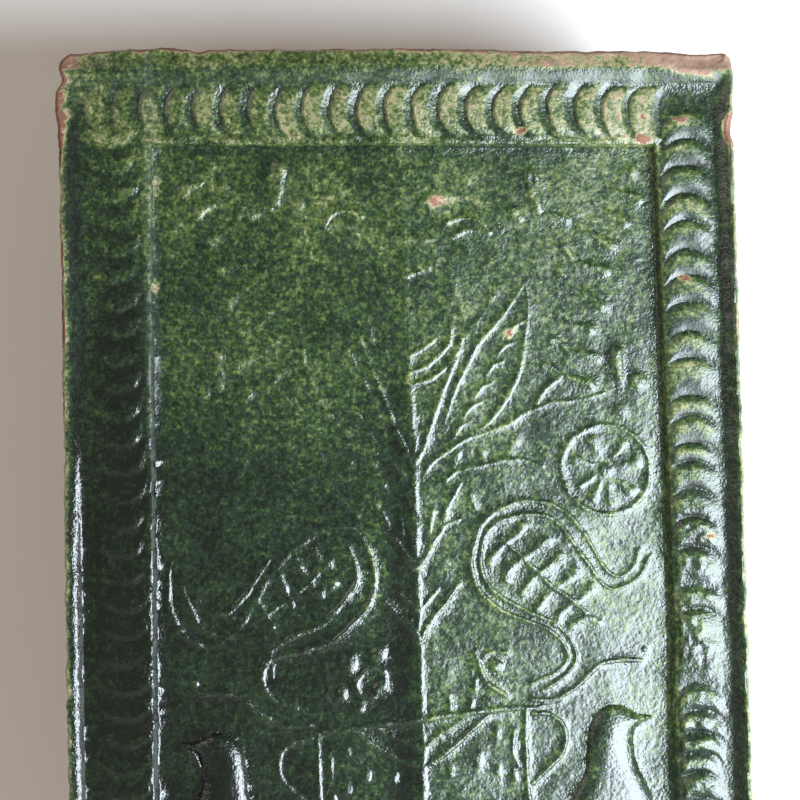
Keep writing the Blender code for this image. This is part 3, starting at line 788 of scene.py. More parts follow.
def worn_edges(across, up):
    """Moves the points near the slab's edges in or out where the outline is worn."""
    inward = inward_from(across, up)
    shift_across, shift_up = np.zeros_like(across), np.zeros_like(up)
    for seed, (side, (step_across, step_up)) in enumerate(STEP_IN.items()):
        along = up if side in ("left", "right") else across
        ragged = unevenness_along(along, (RAGGED, 3.5, 20 + seed), (FINELY_RAGGED, 1.3, 30 + seed))
        amount = RAGGED + FINELY_RAGGED + ragged
        for place, half, depth in EDGE_WEAR[side]:
            amount = amount + depth * bell(along - place, half)
        amount = amount * (1 - smooth(inward[side] / EDGE_WEAR_REACH))
        shift_across += step_across * amount
        shift_up += step_up * amount
    return across + shift_across, up + shift_up


def round_corners(across, up):
    """Draws the points near the slab's corners in, so that its outline turns on an arc."""
    side, end = half_width(up) - np.abs(across), np.minimum(up, TALL - up)
    right, top = 1 - side / CORNER_RADIUS, 1 - end / CORNER_RADIUS
    corner = (right > 0) & (top > 0)
    reach = np.maximum(np.hypot(right, top), 1e-9)
    pull = np.where(corner, 1 - np.maximum(right, top) / reach, 0.0) * CORNER_RADIUS
    return across - np.sign(across) * pull * right, up - np.sign(up - TALL / 2) * pull * top


drawn_in = np.column_stack(round_corners(np.array([-HALF_WIDTH_AT_HEAD]), np.array([TALL])))[0]
print("The slab's upper left corner is drawn in to", drawn_in.round(1))

# %% [markdown]
# ## Raise the face
#
# Now a grid primitive is added, finer than the finest line, and its points are moved to their
# heights. Nothing was drawn with a ruler, so the frame, the crescents and the drawing are each looked
# up a little beside the point itself, by an unevenness of their own.

# %% A net of points
GRID_PITCH = 0.4


def deselect_all():
    bpy.ops.object.select_all(action="DESELECT")


def add_net(name, columns, rows):
    """A grid whose points lie between -1 and 1, ready to be moved to their places."""
    deselect_all()
    bpy.ops.mesh.primitive_grid_add(x_subdivisions=columns, y_subdivisions=rows, size=2)
    net = bpy.context.object
    net.name = net.data.name = name
    return net


def read_points(mesh, value="co"):
    """The places (co) or the normals (normal) of all points, one row each."""
    numbers = np.empty(3 * len(mesh.vertices))
    mesh.vertices.foreach_get(value, numbers)
    return numbers.reshape(-1, 3)


def move_points(mesh, places):
    mesh.vertices.foreach_set("co", places.ravel())
    mesh.update()


columns, rows = round(2 * HALF_WIDTH_AT_FOOT / GRID_PITCH), round(TALL / GRID_PITCH)
tile = add_net("stove_tile_glazed", columns, rows)
flat = read_points(tile.data)
up = (flat[:, 1] + 1) / 2 * TALL
across = flat[:, 0] * half_width(up)
print("Face net:", len(up), "points, one every", GRID_PITCH, "mm")

# %% The frame and its crescents
at_right = smooth((across - 60) / 10)
frame_across = across + unevenness(across, up, (0.22, 5, 54), (0.1, 2, 55))
frame_across += (across < 0) * unevenness(across, up, (0.16, 1.1, 68))
frame_up = up + unevenness(across, up, (0.18, 5, 56), (0.08, 2, 57))
profile, wall, from_wall = frame_profile(frame_across, frame_up)

pressed_across = across + unevenness(across, up, (0.35, 5, 58))
pressed_up = up + unevenness(across, up, (0.35, 5, 59))
rows_of_crescents = [crescent_row(side, pressed_across, pressed_up) for side in BAND]
off_the_wall = smooth((from_wall - np.where(across > 60, -0.1, 0.3)) / 1.4)
crescents, crests, scoops = np.maximum.reduce(rows_of_crescents) * off_the_wall
crumbled = smooth((172 - up) / 12) * at_right  # at the lower right, where the clay was too dry
crescents *= 1 + crumbled * (0.35 + unevenness(across, up, (0.32, 2.6, 65), (0.25, 1.5, 66)))
crescents += crumbled * smooth((from_wall - 1) / 3) * unevenness(across, up, (0.09, 1.8, 67))
print("The frame rises", round(profile.max(), 1), "mm, its crescents", round(crescents.max(), 1), "mm more")

# %% The heights
drawn_across = across + unevenness(across, up, (0.30, 6, 50), (0.16, 2.2, 51))
drawn_up = up + unevenness(across, up, (0.30, 6, 52), (0.16, 2.2, 53))
relief = panel_relief(drawn_across, drawn_up) * (1 - smooth(2 * wall))
height = profile + crescents + relief
height += unevenness(across, up, (0.22, 11, 1), (0.12, 4.5, 2)) - sagged(across, up)
for place, level, wide, tall, depth in WORN_SPOTS:
    height -= depth * bell(oval(across, up, place, level, wide, tall), 1.0)

worn_across, worn_up = worn_edges(*round_corners(across, up))
move_points(tile.data, to_model(worn_across, worn_up, GROUND - height))
print("Relief from", round(height.min(), 2), "to", round(height.max(), 2), "mm")

# %% [markdown]
# ## Ridges and hollows
#
# Wet glaze runs off ridges and pools in hollows, so first these have to be found. A copy of the
# relief is blurred, and what stands over the blur is a ridge. The blur is the average over a square,
# taken three times, which is quick and comes close to a round one.

# %% Find the ridges
BLUR = 1.2


def blurred(field, radius):
    """The field averaged over a square, three times."""
    field = field.reshape(rows + 1, columns + 1)
    reach = max(1, round(radius / GRID_PITCH))
    for axis in (0, 1, 0, 1, 0, 1):
        padded = np.concatenate([np.repeat(np.take(field, [0], axis), reach + 1, axis), field,
                                 np.repeat(np.take(field, [-1], axis), reach, axis)], axis)
        total = np.cumsum(padded, axis)
        size = field.shape[axis]
        field = (np.take(total, range(2 * reach + 1, 2 * reach + 1 + size), axis)
                 - np.take(total, range(size), axis)) / (2 * reach + 1)
    return field.ravel()


inward = inward_from(across, up)
ridge = height - blurred(height, BLUR)
print("Ridges stand up to", round(ridge.max(), 2), "mm over what is round them")

# %% [markdown]
# ## How thick the glaze lies
#
# Each point gets a glaze thickness from 0, bare clay, to 1, a deep pool. It follows the ridges and
# hollows first. The tile was fired standing on its foot, so the glaze ran down from the head and off
# the crests, and it gathered in the scoops and on the birds. On the birds the darker glaze also paints
# the shade of their round bodies. Then come slow changes from place to place, which mostly come from the
# brush rather than from the fire. Just left of the seam, on the left band, at the lower left and inside
# the right rim they also darken the glaze as painted shade, where the surface faces away from the window.

# %% Glaze thickness
EVEN_COAT, LEAST_COAT = 0.62, 0.24
fine_lines = np.clip(relief, 0, 0.7) * (relief < 1.5)
upper_flowers = smooth((up - 150) / 60) * (1 - smooth((across - 36) / 6))
# thicker, darker glaze on the birds: glaze that gathered there, and painted shade of their round bodies
on_birds = smooth((relief - 0.8) / 0.7) * smooth((125 - up) / 6)
in_head_row = smooth((up - 270) / 3) * smooth((across + 97) / 6) * smooth((82 - across) / 5)

thickness = EVEN_COAT - 0.28 * np.clip(ridge, -0.4, 0.45)
thickness += unevenness(across, up, (0.07, 17, 5), (0.05, 6, 6))
thickness -= 0.24 * fine_lines * upper_flowers
thickness -= crests * (0.10 + 0.10 * in_head_row + 0.14 * at_right * (1 - crumbled))
thickness -= 0.12 * in_head_row * (1 + wander(across, up, 8, 9)) * smooth((291 - up) / 4)
thickness += 0.12 * scoops + 0.20 * on_birds
thickness = np.maximum(thickness, LEAST_COAT)

# the left band, where the glaze is thicker and painted shade of the side away from the window lies
on_left_band = bell(across + 84, 17) * smooth((265 - up) / 60)
on_right_band = smooth((across - 77) / 3)
# (how much thicker, and so darker, the glaze lies, where; some of it is painted shade)
slow_changes = [
    (-0.06, smooth((up - 215) / 50) * (1 - wall)),  # the head of the panel
    # just left of the seam the glaze is thicker, and this darkening also paints the shade where the left
    # board lies lower
    (0.28, bell(across - seam_at(up) + 5, 9) * smooth((212 - up) / 50)),  # just left of the seam
    # on the left band: thicker glaze, and painted shade of the side away from the window
    (0.31, on_left_band),
    (0.07, on_left_band * smooth((160 - up) / 40)),
    (0.30, bell(inward["left"] - 4.6, 4.2) * smooth((287 - up) / 10)),  # inside the left rim
    # inside the right rim: glaze gathered at the slope's foot, and painted shade on the slope that faces
    # away from the window
    (0.20, bell(inward["right"] - 4.2, 3.2) * smooth((285 - up) / 60)),  # inside the right rim
    # the lower left: thicker glaze, and painted shade of the left half, which faces away from the window
    (0.30, smooth((15 - across) / 50) * smooth((225 - up) / 110)),  # the lower left
    (-0.50, wall * (1 - wall) * at_right),  # the edges of the right wall
    (0.09, on_right_band),
]
for more, where in slow_changes:
    thickness += more * where

# on the flat of the head rim it is thin all over, most of all at the right
on_head_rim = (1 - smooth((inward["head"] - 4.8) / 1.4)) * (0.38 + 0.62 * smooth((across - 5) / 30))
thickness += on_head_rim * (0.15 + 0.10 * wander(across, up, 3.5, 10) - thickness)
print("Glaze on the face: on average", round(thickness.mean(), 2), "thick")

# %% [markdown]
# ## Where the glaze is smooth, worn or dull
#
# Three more masks say how its surface is. In a pool it has run smooth and mirrors the window
# (`pool`). On a ridge it is worn down to the grain of the clay (`worn`). In some places lime and
# handling have left its sheen dull (`matt`). Each is the greatest of a few simple shapes.

# %% Pool, worn and matt
GRAINY_RIDGE = 0.22  # mm over or under its surroundings
pool = np.maximum.reduce([
    bell(inward["head"] - 8.4, 3.0) * smooth((across + 60) / 60),  # the bead on the head's slope
    scoops * (0.35 + 0.5 * at_right) * (1 - crumbled),
    0.6 * crests * at_right * smooth((up - 180) / 40),
])
worn = np.maximum.reduce([
    smooth(np.abs(ridge) / GRAINY_RIDGE),
    0.8 * bell(inward["left"] - 4.0, 2.6),  # the slope of the left rim
    0.8 * on_right_band * smooth((230 - up) / 40),
])
matt = np.maximum.reduce([
    bell(across - panel_left(up) + 0.8, 3.0) * smooth((up - 165) / 45),  # the upper left wall
    0.40 * bell(inward["left"] - 3.5, 7.0) * smooth((up - 170) / 50),  # the upper left rim
    0.14 * bell(inward["left"] - 4.0, 2.6) * smooth((140 - up) / 60),  # the lower left rim
    0.10 * smooth((across - 10) / 30),  # the right half
    0.25 * smooth((across - 76) / 3) * smooth((205 - up) / 20),  # the lower right band
])
print("Shares of pool, worn and matt:", [round(mask.mean(), 2) for mask in (pool, worn, matt)])

# %% [markdown]
# ## Bare clay
#
# The glaze drew back from the slab's sharp edges, and it has flaked off chips and proud spots. There
# its thickness falls to 0. On the highest buds it ran off, and darker glaze over their upper left side is a
# painted shadow.
# `pale` makes the bare clay lighter and tanner towards the right end of the head and along the head's edge.
# All five fields are stored as attributes of the points, because the material can read those.

# %% Bare edges, buds and chips
edge_wander = unevenness(across, up, (1.0, 5, 7), (0.6, 1.8, 8))
# how far in the bare clay reaches from each edge
bare_edge = {"left": 2.0 + 1.2 * smooth((up - 245) / 25), "right": 1.2 + 0.4 * smooth((190 - up) / 30),
             "head": 1.3 + 1.2 * smooth((across - 60) / 20), "foot": 2.2}
for side, width in bare_edge.items():
    thickness -= 0.6 * (1 - smooth((inward[side] - 0.5 * edge_wander) / width))

# a painted shadow: darker glaze on the upper left of each bud, away from the window; how far aside it lies
# and how wide it reaches
BUD_SHADOW_ASIDE, BUD_SHADOW_REACH = 0.9, 1.3
# (across, up, half the width, half the height)
BUDS = [(40.3, 258, 3.0, 5.5), (35.5, 252, 2.2, 2.2), (63.2, 208, 2.8, 5.0), (69.2, 202.4, 2.8, 2.4),
        (-37, 263, 3, 5), (-57, 240, 2.6, 2.4)]
for place, level, wide, tall in BUDS:
    bud = bell(oval(across, up, place, level, wide, tall), 1.0)
    # the ring set off to the upper left darkens the glaze as a painted shadow; the bud's own top is thinned
    # where the glaze ran off
    aside = oval(across, up, place - BUD_SHADOW_ASIDE, level + BUD_SHADOW_ASIDE, wide, tall)
    thickness += 0.45 * np.clip(bell(aside, BUD_SHADOW_REACH) - bud, 0, 1) - 0.08 * bud

# (across, up, half the width, half the height) of the spots where the clay shows
BARE_SPOTS = [(-97.5, 297.5, 5, 3.5), (-98.8, 282, 2.4, 12), (90, 297, 13, 5), (99.2, 276, 2.6, 6),
              (12.0, 255, 3.0, 1.9), (32.9, 215.8, 1.2, 1.6), (37.5, 275.5, 1.8, 1.4),
              (73.4, 273.4, 2.2, 1.6), (73.6, 280.2, 1.6, 1.2), (84.5, 279.6, 3.4, 1.3),
              (84.3, 232.6, 2.8, 1.3), (90.5, 156, 1.5, 1.0), (-71.6, 260, 0.8, 3.4),
              (-72.4, 229.6, 1.2, 1.6)]
for place, level, wide, tall in BARE_SPOTS:
    ragged = oval(across, up, place, level, wide, tall) + 0.25 * edge_wander
    thickness -= 0.8 * (1 - smooth((ragged - 0.55) / 0.6))
print("Bare clay on", round(100 * (thickness < 0.05).mean(), 1), "% of the face")

# %% Store them on the points
# the bare clay turns lighter and tanner towards the right end of the head and along the head's edge
pale = smooth((across - 10) / 80) * (0.25 + 0.75 * smooth((up - 286) / 6)) + 0.3 * smooth((up - 290) / 5)
fields = {"glaze": thickness, "pool": pool, "worn": worn, "matt": matt, "pale": pale}
for name, field in fields.items():
    layer = tile.data.attributes.new(name, "FLOAT", "POINT")
    layer.data.foreach_set("value", np.clip(field, 0, 1).astype(np.float32))
print("Stored:", list(fields))

# %% [markdown]
# ## Thin the net
#
# The Decimate modifier thins the net: flat ground needs few triangles, and the carved lines keep
# theirs. The grid's own map of the surface (its UVs) is squeezed into the left two thirds of the
# square, so that the rump can have the rest later.

# %% Squeeze the map and thin the net
FACE_TRIANGLES = 158000
FACE_MAP_WIDTH = 0.66


def read_map(mesh):
    """The map places of all corners: across and up in turn."""
    places = np.empty(2 * len(mesh.loops), np.float32)
    mesh.uv_layers[0].data.foreach_get("uv", places)
    return places


tile.data.uv_layers[0].name = "OFBake"
places = read_map(tile.data)
places[0::2] *= FACE_MAP_WIDTH
tile.data.uv_layers[0].data.foreach_set("uv", places)

thin = tile.modifiers.new("thin", "DECIMATE")
thin.ratio = FACE_TRIANGLES / (2 * columns * rows)
bpy.ops.object.modifier_apply(modifier=thin.name)
print("Thinned face:", len(tile.data.polygons), "faces")

# %% [markdown]
# ## Give it a back
#
# The net's open border is extruded twice and each time scaled towards the plane of the slab's back,
# the second time right onto it, and then closed with one face. On the way it is drawn in a little,
# because clay with straight sides would never have left the mould.

# %% Close the slab
UNDERCUT = 1.5  # mm, all round
slab_middle = (TALL / 2 + FOOT) * MM


def select_border():
    """Enters edit mode with the open border of the active mesh selected."""
    bpy.ops.object.mode_set(mode="EDIT")
    bpy.ops.mesh.select_mode(type="EDGE")
    bpy.ops.mesh.select_all(action="DESELECT")
    bpy.ops.mesh.select_non_manifold()


def close_border():
    """Closes the selected border with one face, turns all faces outwards and leaves edit mode."""
    bpy.ops.mesh.edge_face_add()
    bpy.ops.mesh.select_all(action="SELECT")
    bpy.ops.mesh.normals_make_consistent(inside=False)
    bpy.ops.object.mode_set(mode="OBJECT")


select_border()
# (share of the way that is left, share of the undercut)
for part_way, draw_in in ((0.35, 0.2), (1.0, 0.8)):
    bpy.ops.mesh.extrude_region_move()
    bpy.ops.transform.resize(value=(1, 1 - part_way, 1), center_override=(0, BACK * MM, slab_middle))
    shrink = 1 - draw_in * UNDERCUT / HALF_WIDTH_AT_FOOT
    bpy.ops.transform.resize(value=(shrink, 1, shrink), center_override=(0, BACK * MM, slab_middle))
close_border()
print("Slab closed:", len(tile.data.polygons), "faces")

# %% [markdown]
# ## The rump
#
# The collar behind the slab is modelled as a potter builds it: a block is hollowed right through,
# and its corners are rounded. A second block, which is longer, is the core that is cut out of it.

# %% The collar
RUMP_WIDE, RUMP_TALL, RUMP_WALL = 172.4, 272.0, 9.0
RUMP_CORNER = 12.0
LUTED = 2.0  # how far it is pressed into the slab


def rounded_block(name, wide, tall, front, back, corner):
    """A block between two depths, with its four long edges rounded."""
    deselect_all()
    bpy.ops.mesh.primitive_cube_add(size=1)
    block = bpy.context.object
    block.name = block.data.name = name
    block.scale = (wide * MM, (back - front) * MM, tall * MM)
    block.location = (0, (front + back) / 2 * MM, slab_middle)
    bpy.ops.object.transform_apply(location=True, rotation=False, scale=True)
    rounding = block.modifiers.new("rounding", "BEVEL")
    rounding.limit_method = "WEIGHT"
    rounding.width, rounding.segments = corner * MM, 6
    weights = block.data.attributes.new("bevel_weight_edge", "FLOAT", "EDGE")
    for edge in block.data.edges:
        start, end = (block.data.vertices[i].co for i in edge.vertices)
        weights.data[edge.index].value = float(abs((end - start).y) > 0.5 * (back - front) * MM)
    bpy.ops.object.modifier_apply(modifier=rounding.name)
    return block


def combine(piece, other, operation):
    """Joins the other piece on (UNION) or cuts it out (DIFFERENCE), and then removes it."""
    change = piece.modifiers.new("change", "BOOLEAN")
    change.object, change.operation, change.solver = other, operation, "EXACT"
    bpy.context.view_layer.objects.active = piece
    bpy.ops.object.modifier_apply(modifier=change.name)
    bpy.data.objects.remove(other, do_unlink=True)


collar = rounded_block("collar", RUMP_WIDE, RUMP_TALL, BACK - LUTED, 0, RUMP_CORNER)
core = rounded_block("core", RUMP_WIDE - 2 * RUMP_WALL, RUMP_TALL - 2 * RUMP_WALL, BACK - RUMP_WALL,
                     RUMP_WALL, RUMP_CORNER - RUMP_WALL / 2)
combine(collar, core, "DIFFERENCE")
print("Collar:", len(collar.data.polygons), "faces, its wall", RUMP_WALL, "mm")

# %% [markdown]
# ## Finger marks on the collar
#
# The collar's foot is smeared onto the slab with the fingers, which leaves a flare with a row of soft
# dents. A box has no points to move, so bisect cuts it into small squares first. Then each point is
# pushed out along its wall's normal, by the flare, by a slow unevenness and by the ring that the
# wiping hand left round the middle.

# %% Cut it into squares
SQUARE = 5.0


def cut_into_squares(piece, size, low, high):
    """Bisects the piece every `size` mm between two corners, so that it can bend."""
    bpy.context.view_layer.objects.active = piece
    bpy.ops.object.mode_set(mode="EDIT")
    for axis in range(3):
        normal = [0.0, 0.0, 0.0]
        normal[axis] = 1.0
        for place in np.arange(low[axis] + size, high[axis] - 0.3 * size, size):
            point = [0.0, 0.0, 0.0]
            point[axis] = place * MM
            bpy.ops.mesh.select_all(action="SELECT")
            bpy.ops.mesh.bisect(plane_co=point, plane_no=normal)
    bpy.ops.object.mode_set(mode="OBJECT")


bottom, top = 1000 * slab_middle - RUMP_TALL / 2, 1000 * slab_middle + RUMP_TALL / 2
cut_into_squares(collar, SQUARE, (-RUMP_WIDE / 2, BACK - LUTED, bottom), (RUMP_WIDE / 2, 0, top))
print("Cut collar:", len(collar.data.polygons), "faces")

# %% Flare and dents
FLARE, FLARE_REACH = 3.2, 9.0
FINGER_PITCH = 17.0
RING, RING_PITCH = 0.5, 13

spots = read_points(collar.data) / MM
outwards = read_points(collar.data, "normal")
outwards[:, 1] = 0.0
outwards /= np.maximum(np.linalg.norm(outwards, axis=1, keepdims=True), 1e-6)
x, y, z = spots.T
along = np.where(np.abs(outwards[:, 0]) > 0.7, z, x)
fingers = 0.75 + 0.3 * np.cos(2 * math.pi * along / FINGER_PITCH + 2 * wander(along, along, 30, 40))
swell = FLARE * fingers * (1 - smooth((y - BACK) / FLARE_REACH))
swell += 0.45 * wander(x, z + 0.7 * y + 60, 16, 41)
swell += RING * np.cos(2 * math.pi * y / RING_PITCH + wander(along, along, 24, 42)) * bell(y + 24, 22)
spots += outwards * swell[:, None]
move_points(collar.data, spots * MM)
print("Collar flares up to", round(swell.max(), 1), "mm where it meets the slab")

# %% [markdown]
# ## The back of the slab inside the rump
#
# Clay is pressed into the mould with the fingertips, and nobody smooths the dents away. A net of
# points is dented with overlapping fingertip marks and given a thickness, and it is sunk into the
# slab inside the collar.

# %% The dented floor
FLOOR_WIDE, FLOOR_TALL = 160.0, 260.0
FLOOR_PITCH = 2.5
FLOOR_LEAST, FLOOR_MOST = 0.3, 1.7
DENTS, DENT_DEPTH = 130, 0.55
outermost = np.array([FLOOR_WIDE, FLOOR_TALL]) / 2 - 2  # the middle of a dent lies within this

floor = add_net("pressed_back", round(FLOOR_WIDE / FLOOR_PITCH), round(FLOOR_TALL / FLOOR_PITCH))
flat = read_points(floor.data)
floor_x, floor_z = flat[:, 0] * FLOOR_WIDE / 2, flat[:, 1] * FLOOR_TALL / 2
thick = 1.25 + 0.35 * wander(floor_x, floor_z + 140, 28, 50)
fingertips = np.random.default_rng(51)
for dent in range(DENTS):
    middle = fingertips.uniform(-outermost, outermost)
    turn, reach = fingertips.uniform(-0.6, 0.6), fingertips.uniform(6.5, 9.5)
    off_x, off_z = floor_x - middle[0], floor_z - middle[1]
    long = (off_x * math.sin(turn) + off_z * math.cos(turn)) / (1.35 * reach)
    short = (off_x * math.cos(turn) - off_z * math.sin(turn)) / reach
    thick -= DENT_DEPTH * bell(np.hypot(long, short), 1.0)
# the plate stays between its least and its greatest thickness, however many dents meet
thick = FLOOR_LEAST + (FLOOR_MOST - FLOOR_LEAST) * smooth((thick - FLOOR_LEAST + 0.6) / 2.2)
move_points(floor.data, np.column_stack([floor_x, BACK + thick, 1000 * slab_middle - floor_z]) * MM)

select_border()
bpy.ops.mesh.extrude_region_move()
bpy.ops.transform.resize(value=(1, 0, 1), center_override=(0, (BACK - LUTED) * MM, slab_middle))
close_border()
print("Pressed back:", len(floor.data.polygons), "faces, from", round(thick.min(), 1), "to",
      round(thick.max(), 1), "mm thick")

# %% [markdown]
# ## Small helpers for shader nodes
#
# A finish is worked out by a net of shader nodes, and adding each by hand takes several lines. These
# helpers add one node each and give back its output, so that a finish reads like a sum. The noise
# reads Object coordinates, in metres, so its grain has the same size on every piece.

# %% Node helpers
def new_group(name, inputs, outputs):
    """A shader node group with float inputs (name, value) and outputs (name, socket type)."""
    group = bpy.data.node_groups.new(name, "ShaderNodeTree")
    for label, value in inputs:
        socket = group.interface.new_socket(name=label, in_out="INPUT", socket_type="NodeSocketFloat")
        socket.default_value = value
    for label, kind in outputs:
        group.interface.new_socket(name=label, in_out="OUTPUT", socket_type=kind)
    return group, group.nodes.new("NodeGroupInput"), group.nodes.new("NodeGroupOutput")


def place_group(tree, group):
    """The group as a node in a material or in another group."""
    node = tree.nodes.new("ShaderNodeGroup")
    node.node_tree = group
    return node


def set_or_link(tree, socket, value):
    """Gives a socket its value, which is a number, a colour or another node's output."""
    if isinstance(value, bpy.types.NodeSocket):
        tree.links.new(value, socket)
    else:
        socket.default_value = value


def object_place(tree):
    return tree.nodes.new("ShaderNodeTexCoord").outputs["Object"]


def noise(tree, per_metre, detail=2.0, roughness=0.5, distortion=0.0, stretch=None):
    """Noise on object coordinates. per_metre is how many blotches there are in a metre."""
    coordinates = object_place(tree)
    if stretch:
        mapping = tree.nodes.new("ShaderNodeMapping")
        mapping.inputs["Scale"].default_value = stretch
        tree.links.new(coordinates, mapping.inputs["Vector"])
        coordinates = mapping.outputs["Vector"]
    texture = tree.nodes.new("ShaderNodeTexNoise")
    texture.inputs["Scale"].default_value = per_metre
    texture.inputs["Detail"].default_value = detail
    texture.inputs["Roughness"].default_value = roughness
    texture.inputs["Distortion"].default_value = distortion
    tree.links.new(coordinates, texture.inputs["Vector"])
    return texture.outputs["Fac"]


def calculate(tree, operation, *values, clamp=False):
    """A Math node. Each value is a number or an output."""
    step = tree.nodes.new("ShaderNodeMath")
    step.operation = operation
    step.use_clamp = clamp
    for socket, value in zip(step.inputs, values):
        set_or_link(tree, socket, value)
    return step.outputs["Value"]


def multiply(tree, first, second):
    return calculate(tree, "MULTIPLY", first, second)


def add(tree, first, *others, clamp=False):
    for other in others:
        first = calculate(tree, "ADD", first, other, clamp=clamp)
    return first


def swing(tree, texture, reach):
    """Turns a texture's 0 to 1 into a swing about 0, this far from end to end."""
    return calculate(tree, "MULTIPLY_ADD", texture, reach, -reach / 2)


def remap(tree, value, low, high, to_low=0.0, to_high=1.0):
    """A Map Range node with smooth ends, kept between its two results."""
    step = tree.nodes.new("ShaderNodeMapRange")
    step.interpolation_type = "SMOOTHSTEP"
    tree.links.new(value, step.inputs["Value"])
    for label, number in (("From Min", low), ("From Max", high), ("To Min", to_low), ("To Max", to_high)):
        step.inputs[label].default_value = number
    return step.outputs["Result"]


def ramp(tree, value, stops):
    """A Color Ramp with (place, colour) stops."""
    step = tree.nodes.new("ShaderNodeValToRGB")
    for (place, colour), element in zip(stops[:2], step.color_ramp.elements):
        element.position, element.color = place, (*colour, 1.0)
    for place, colour in stops[2:]:
        step.color_ramp.elements.new(place).color = (*colour, 1.0)
    tree.links.new(value, step.inputs["Fac"])
    return step.outputs["Color"]


def mix(tree, share, first, second):
    """A Mix node for colours; each may be an output or a colour."""
    step = tree.nodes.new("ShaderNodeMix")
    step.data_type = "RGBA"
    for label, value in (("Factor", share), ("A", first), ("B", second)):
        set_or_link(tree, step.inputs[label], value)
    return step.outputs["Result"]


helpers = [noise, calculate, multiply, add, swing, remap, ramp, mix]
print("Node helpers:", [helper.__name__ for helper in helpers])

# %% [markdown]
# ## Fired clay
#
# The clay shows at chips and edges on the face and all over the rump, so it is a node group that
# both finishes use. It isn't one colour: clouds of orange and tan, a fine dark grain and specks of
# pale grit. `Pale` shifts it from the orange clay to the tan one.

# %% The fired clay, as a group
ORANGE_CLAY = [(0.30, (0.055, 0.017, 0.007)), (0.50, (0.110, 0.034, 0.014)), (0.70, (0.150, 0.062, 0.028))]
TAN_CLAY = [(0.30, (0.135, 0.080, 0.052)), (0.50, (0.215, 0.140, 0.095)), (0.68, (0.29, 0.205, 0.150))]
GRIT = (0.45, 0.32, 0.22, 1.0)
PORES = (0.14, 0.05, 0.03, 1.0)


def clay_group():
    """Terracotta with a fine grain and pale grit. Out: its colour and its grain's height."""
    group, given, out = new_group("fired clay", [("Pale", 0.4)],
                                  [("Colour", "NodeSocketColor"), ("Grain", "NodeSocketFloat")])
    cloud = noise(group, 130, 4.0, 0.7)
    orange = ramp(group, cloud, ORANGE_CLAY)
    tan = ramp(group, cloud, TAN_CLAY)
    paler = add(group, given.outputs["Pale"], swing(group, noise(group, 28), 1.6), clamp=True)
    body = mix(group, paler, orange, tan)
    grain = noise(group, 900, 3.0, 0.7)
    grit = remap(group, noise(group, 520, 1.0), 0.66, 0.74)
    dusted = mix(group, multiply(group, grit, 0.35), body, GRIT)
    in_pores = remap(group, grain, 0.25, 0.6, 0.45, 0.0)
    group.links.new(mix(group, in_pores, dusted, PORES), out.inputs["Colour"])
    group.links.new(grain, out.inputs["Grain"])
    return group


fired_clay = clay_group()
print("Group:", fired_clay.name, "with", len(fired_clay.nodes), "nodes")

# %% [markdown]
# ## The colours of the glaze
#
# A lead glaze stained with copper is a coloured glass: where it is thin the clay shines through and
# it looks ochre, where it is thick it goes from moss green to nearly black. So one number, the
# thickness, picks the colour along a ramp. Fine specks are added to the thickness first, because
# the copper was sprinkled on unevenly. The face and the drips on the slab's edge both need this, so
# it is a node group. Its height is the skin of the glaze: thin glaze follows the grain of the clay,
# thick glaze is smooth with a slow orange peel.

# %% The glaze, as a group
GLASS = [(0.0, (0.23, 0.16, 0.10)), (0.10, (0.20, 0.175, 0.090)), (0.22, (0.135, 0.142, 0.060)),
         (0.36, (0.060, 0.082, 0.020)), (0.52, (0.022, 0.042, 0.010)), (0.70, (0.008, 0.018, 0.007)),
         (1.0, (0.003, 0.005, 0.003))]
SLATE = (0.022, 0.031, 0.031, 1.0)  # specks of undissolved copper
SWELL_HEIGHT, PEEL_HEIGHT = 0.16, 0.07  # mm


def glass_colour(group, thickness, seen):
    """The ramp's colour for the speckled thickness, with slate specks where the glaze isn't deep."""
    slate = remap(group, noise(group, 820, 2.0, 0.6), 0.52, 0.64, 0.0, 0.38)
    slate = multiply(group, slate, remap(group, thickness, 0.72, 1.0, 1.0, 0.15))
    return mix(group, slate, ramp(group, seen, GLASS), SLATE)


def glaze_roughness(group, given, seen, bare):
    sheen = remap(group, seen, 0.1, 0.8, 0.42, 0.22)
    sheen = calculate(group, "MULTIPLY_ADD", given.outputs["Pool"], 0.08, sheen)
    sheen = calculate(group, "MULTIPLY_ADD", given.outputs["Matt"], 0.32, sheen)
    return calculate(group, "MULTIPLY_ADD", bare, 0.5, sheen, clamp=True)


def glaze_skin(group, given):
    """The skin's height in mm: a coarse swell, a finer peel, and the clay's grain where it is thin."""
    thin = remap(group, given.outputs["Thickness"], 0.30, 0.70, 1.0, 0.7)
    rippled = calculate(group, "MULTIPLY_ADD", given.outputs["Pool"], -0.6, 1.0)
    worn = calculate(group, "MULTIPLY_ADD", given.outputs["Worn"], 0.20, 0.07)
    swell = multiply(group, noise(group, 540, 1.0), multiply(group, rippled, SWELL_HEIGHT))
    peel = multiply(group, noise(group, 800, 1.0), multiply(group, rippled, PEEL_HEIGHT))
    grain = multiply(group, noise(group, 1500, 1.0), multiply(group, multiply(group, thin, rippled), worn))
    return add(group, peel, grain, swell)


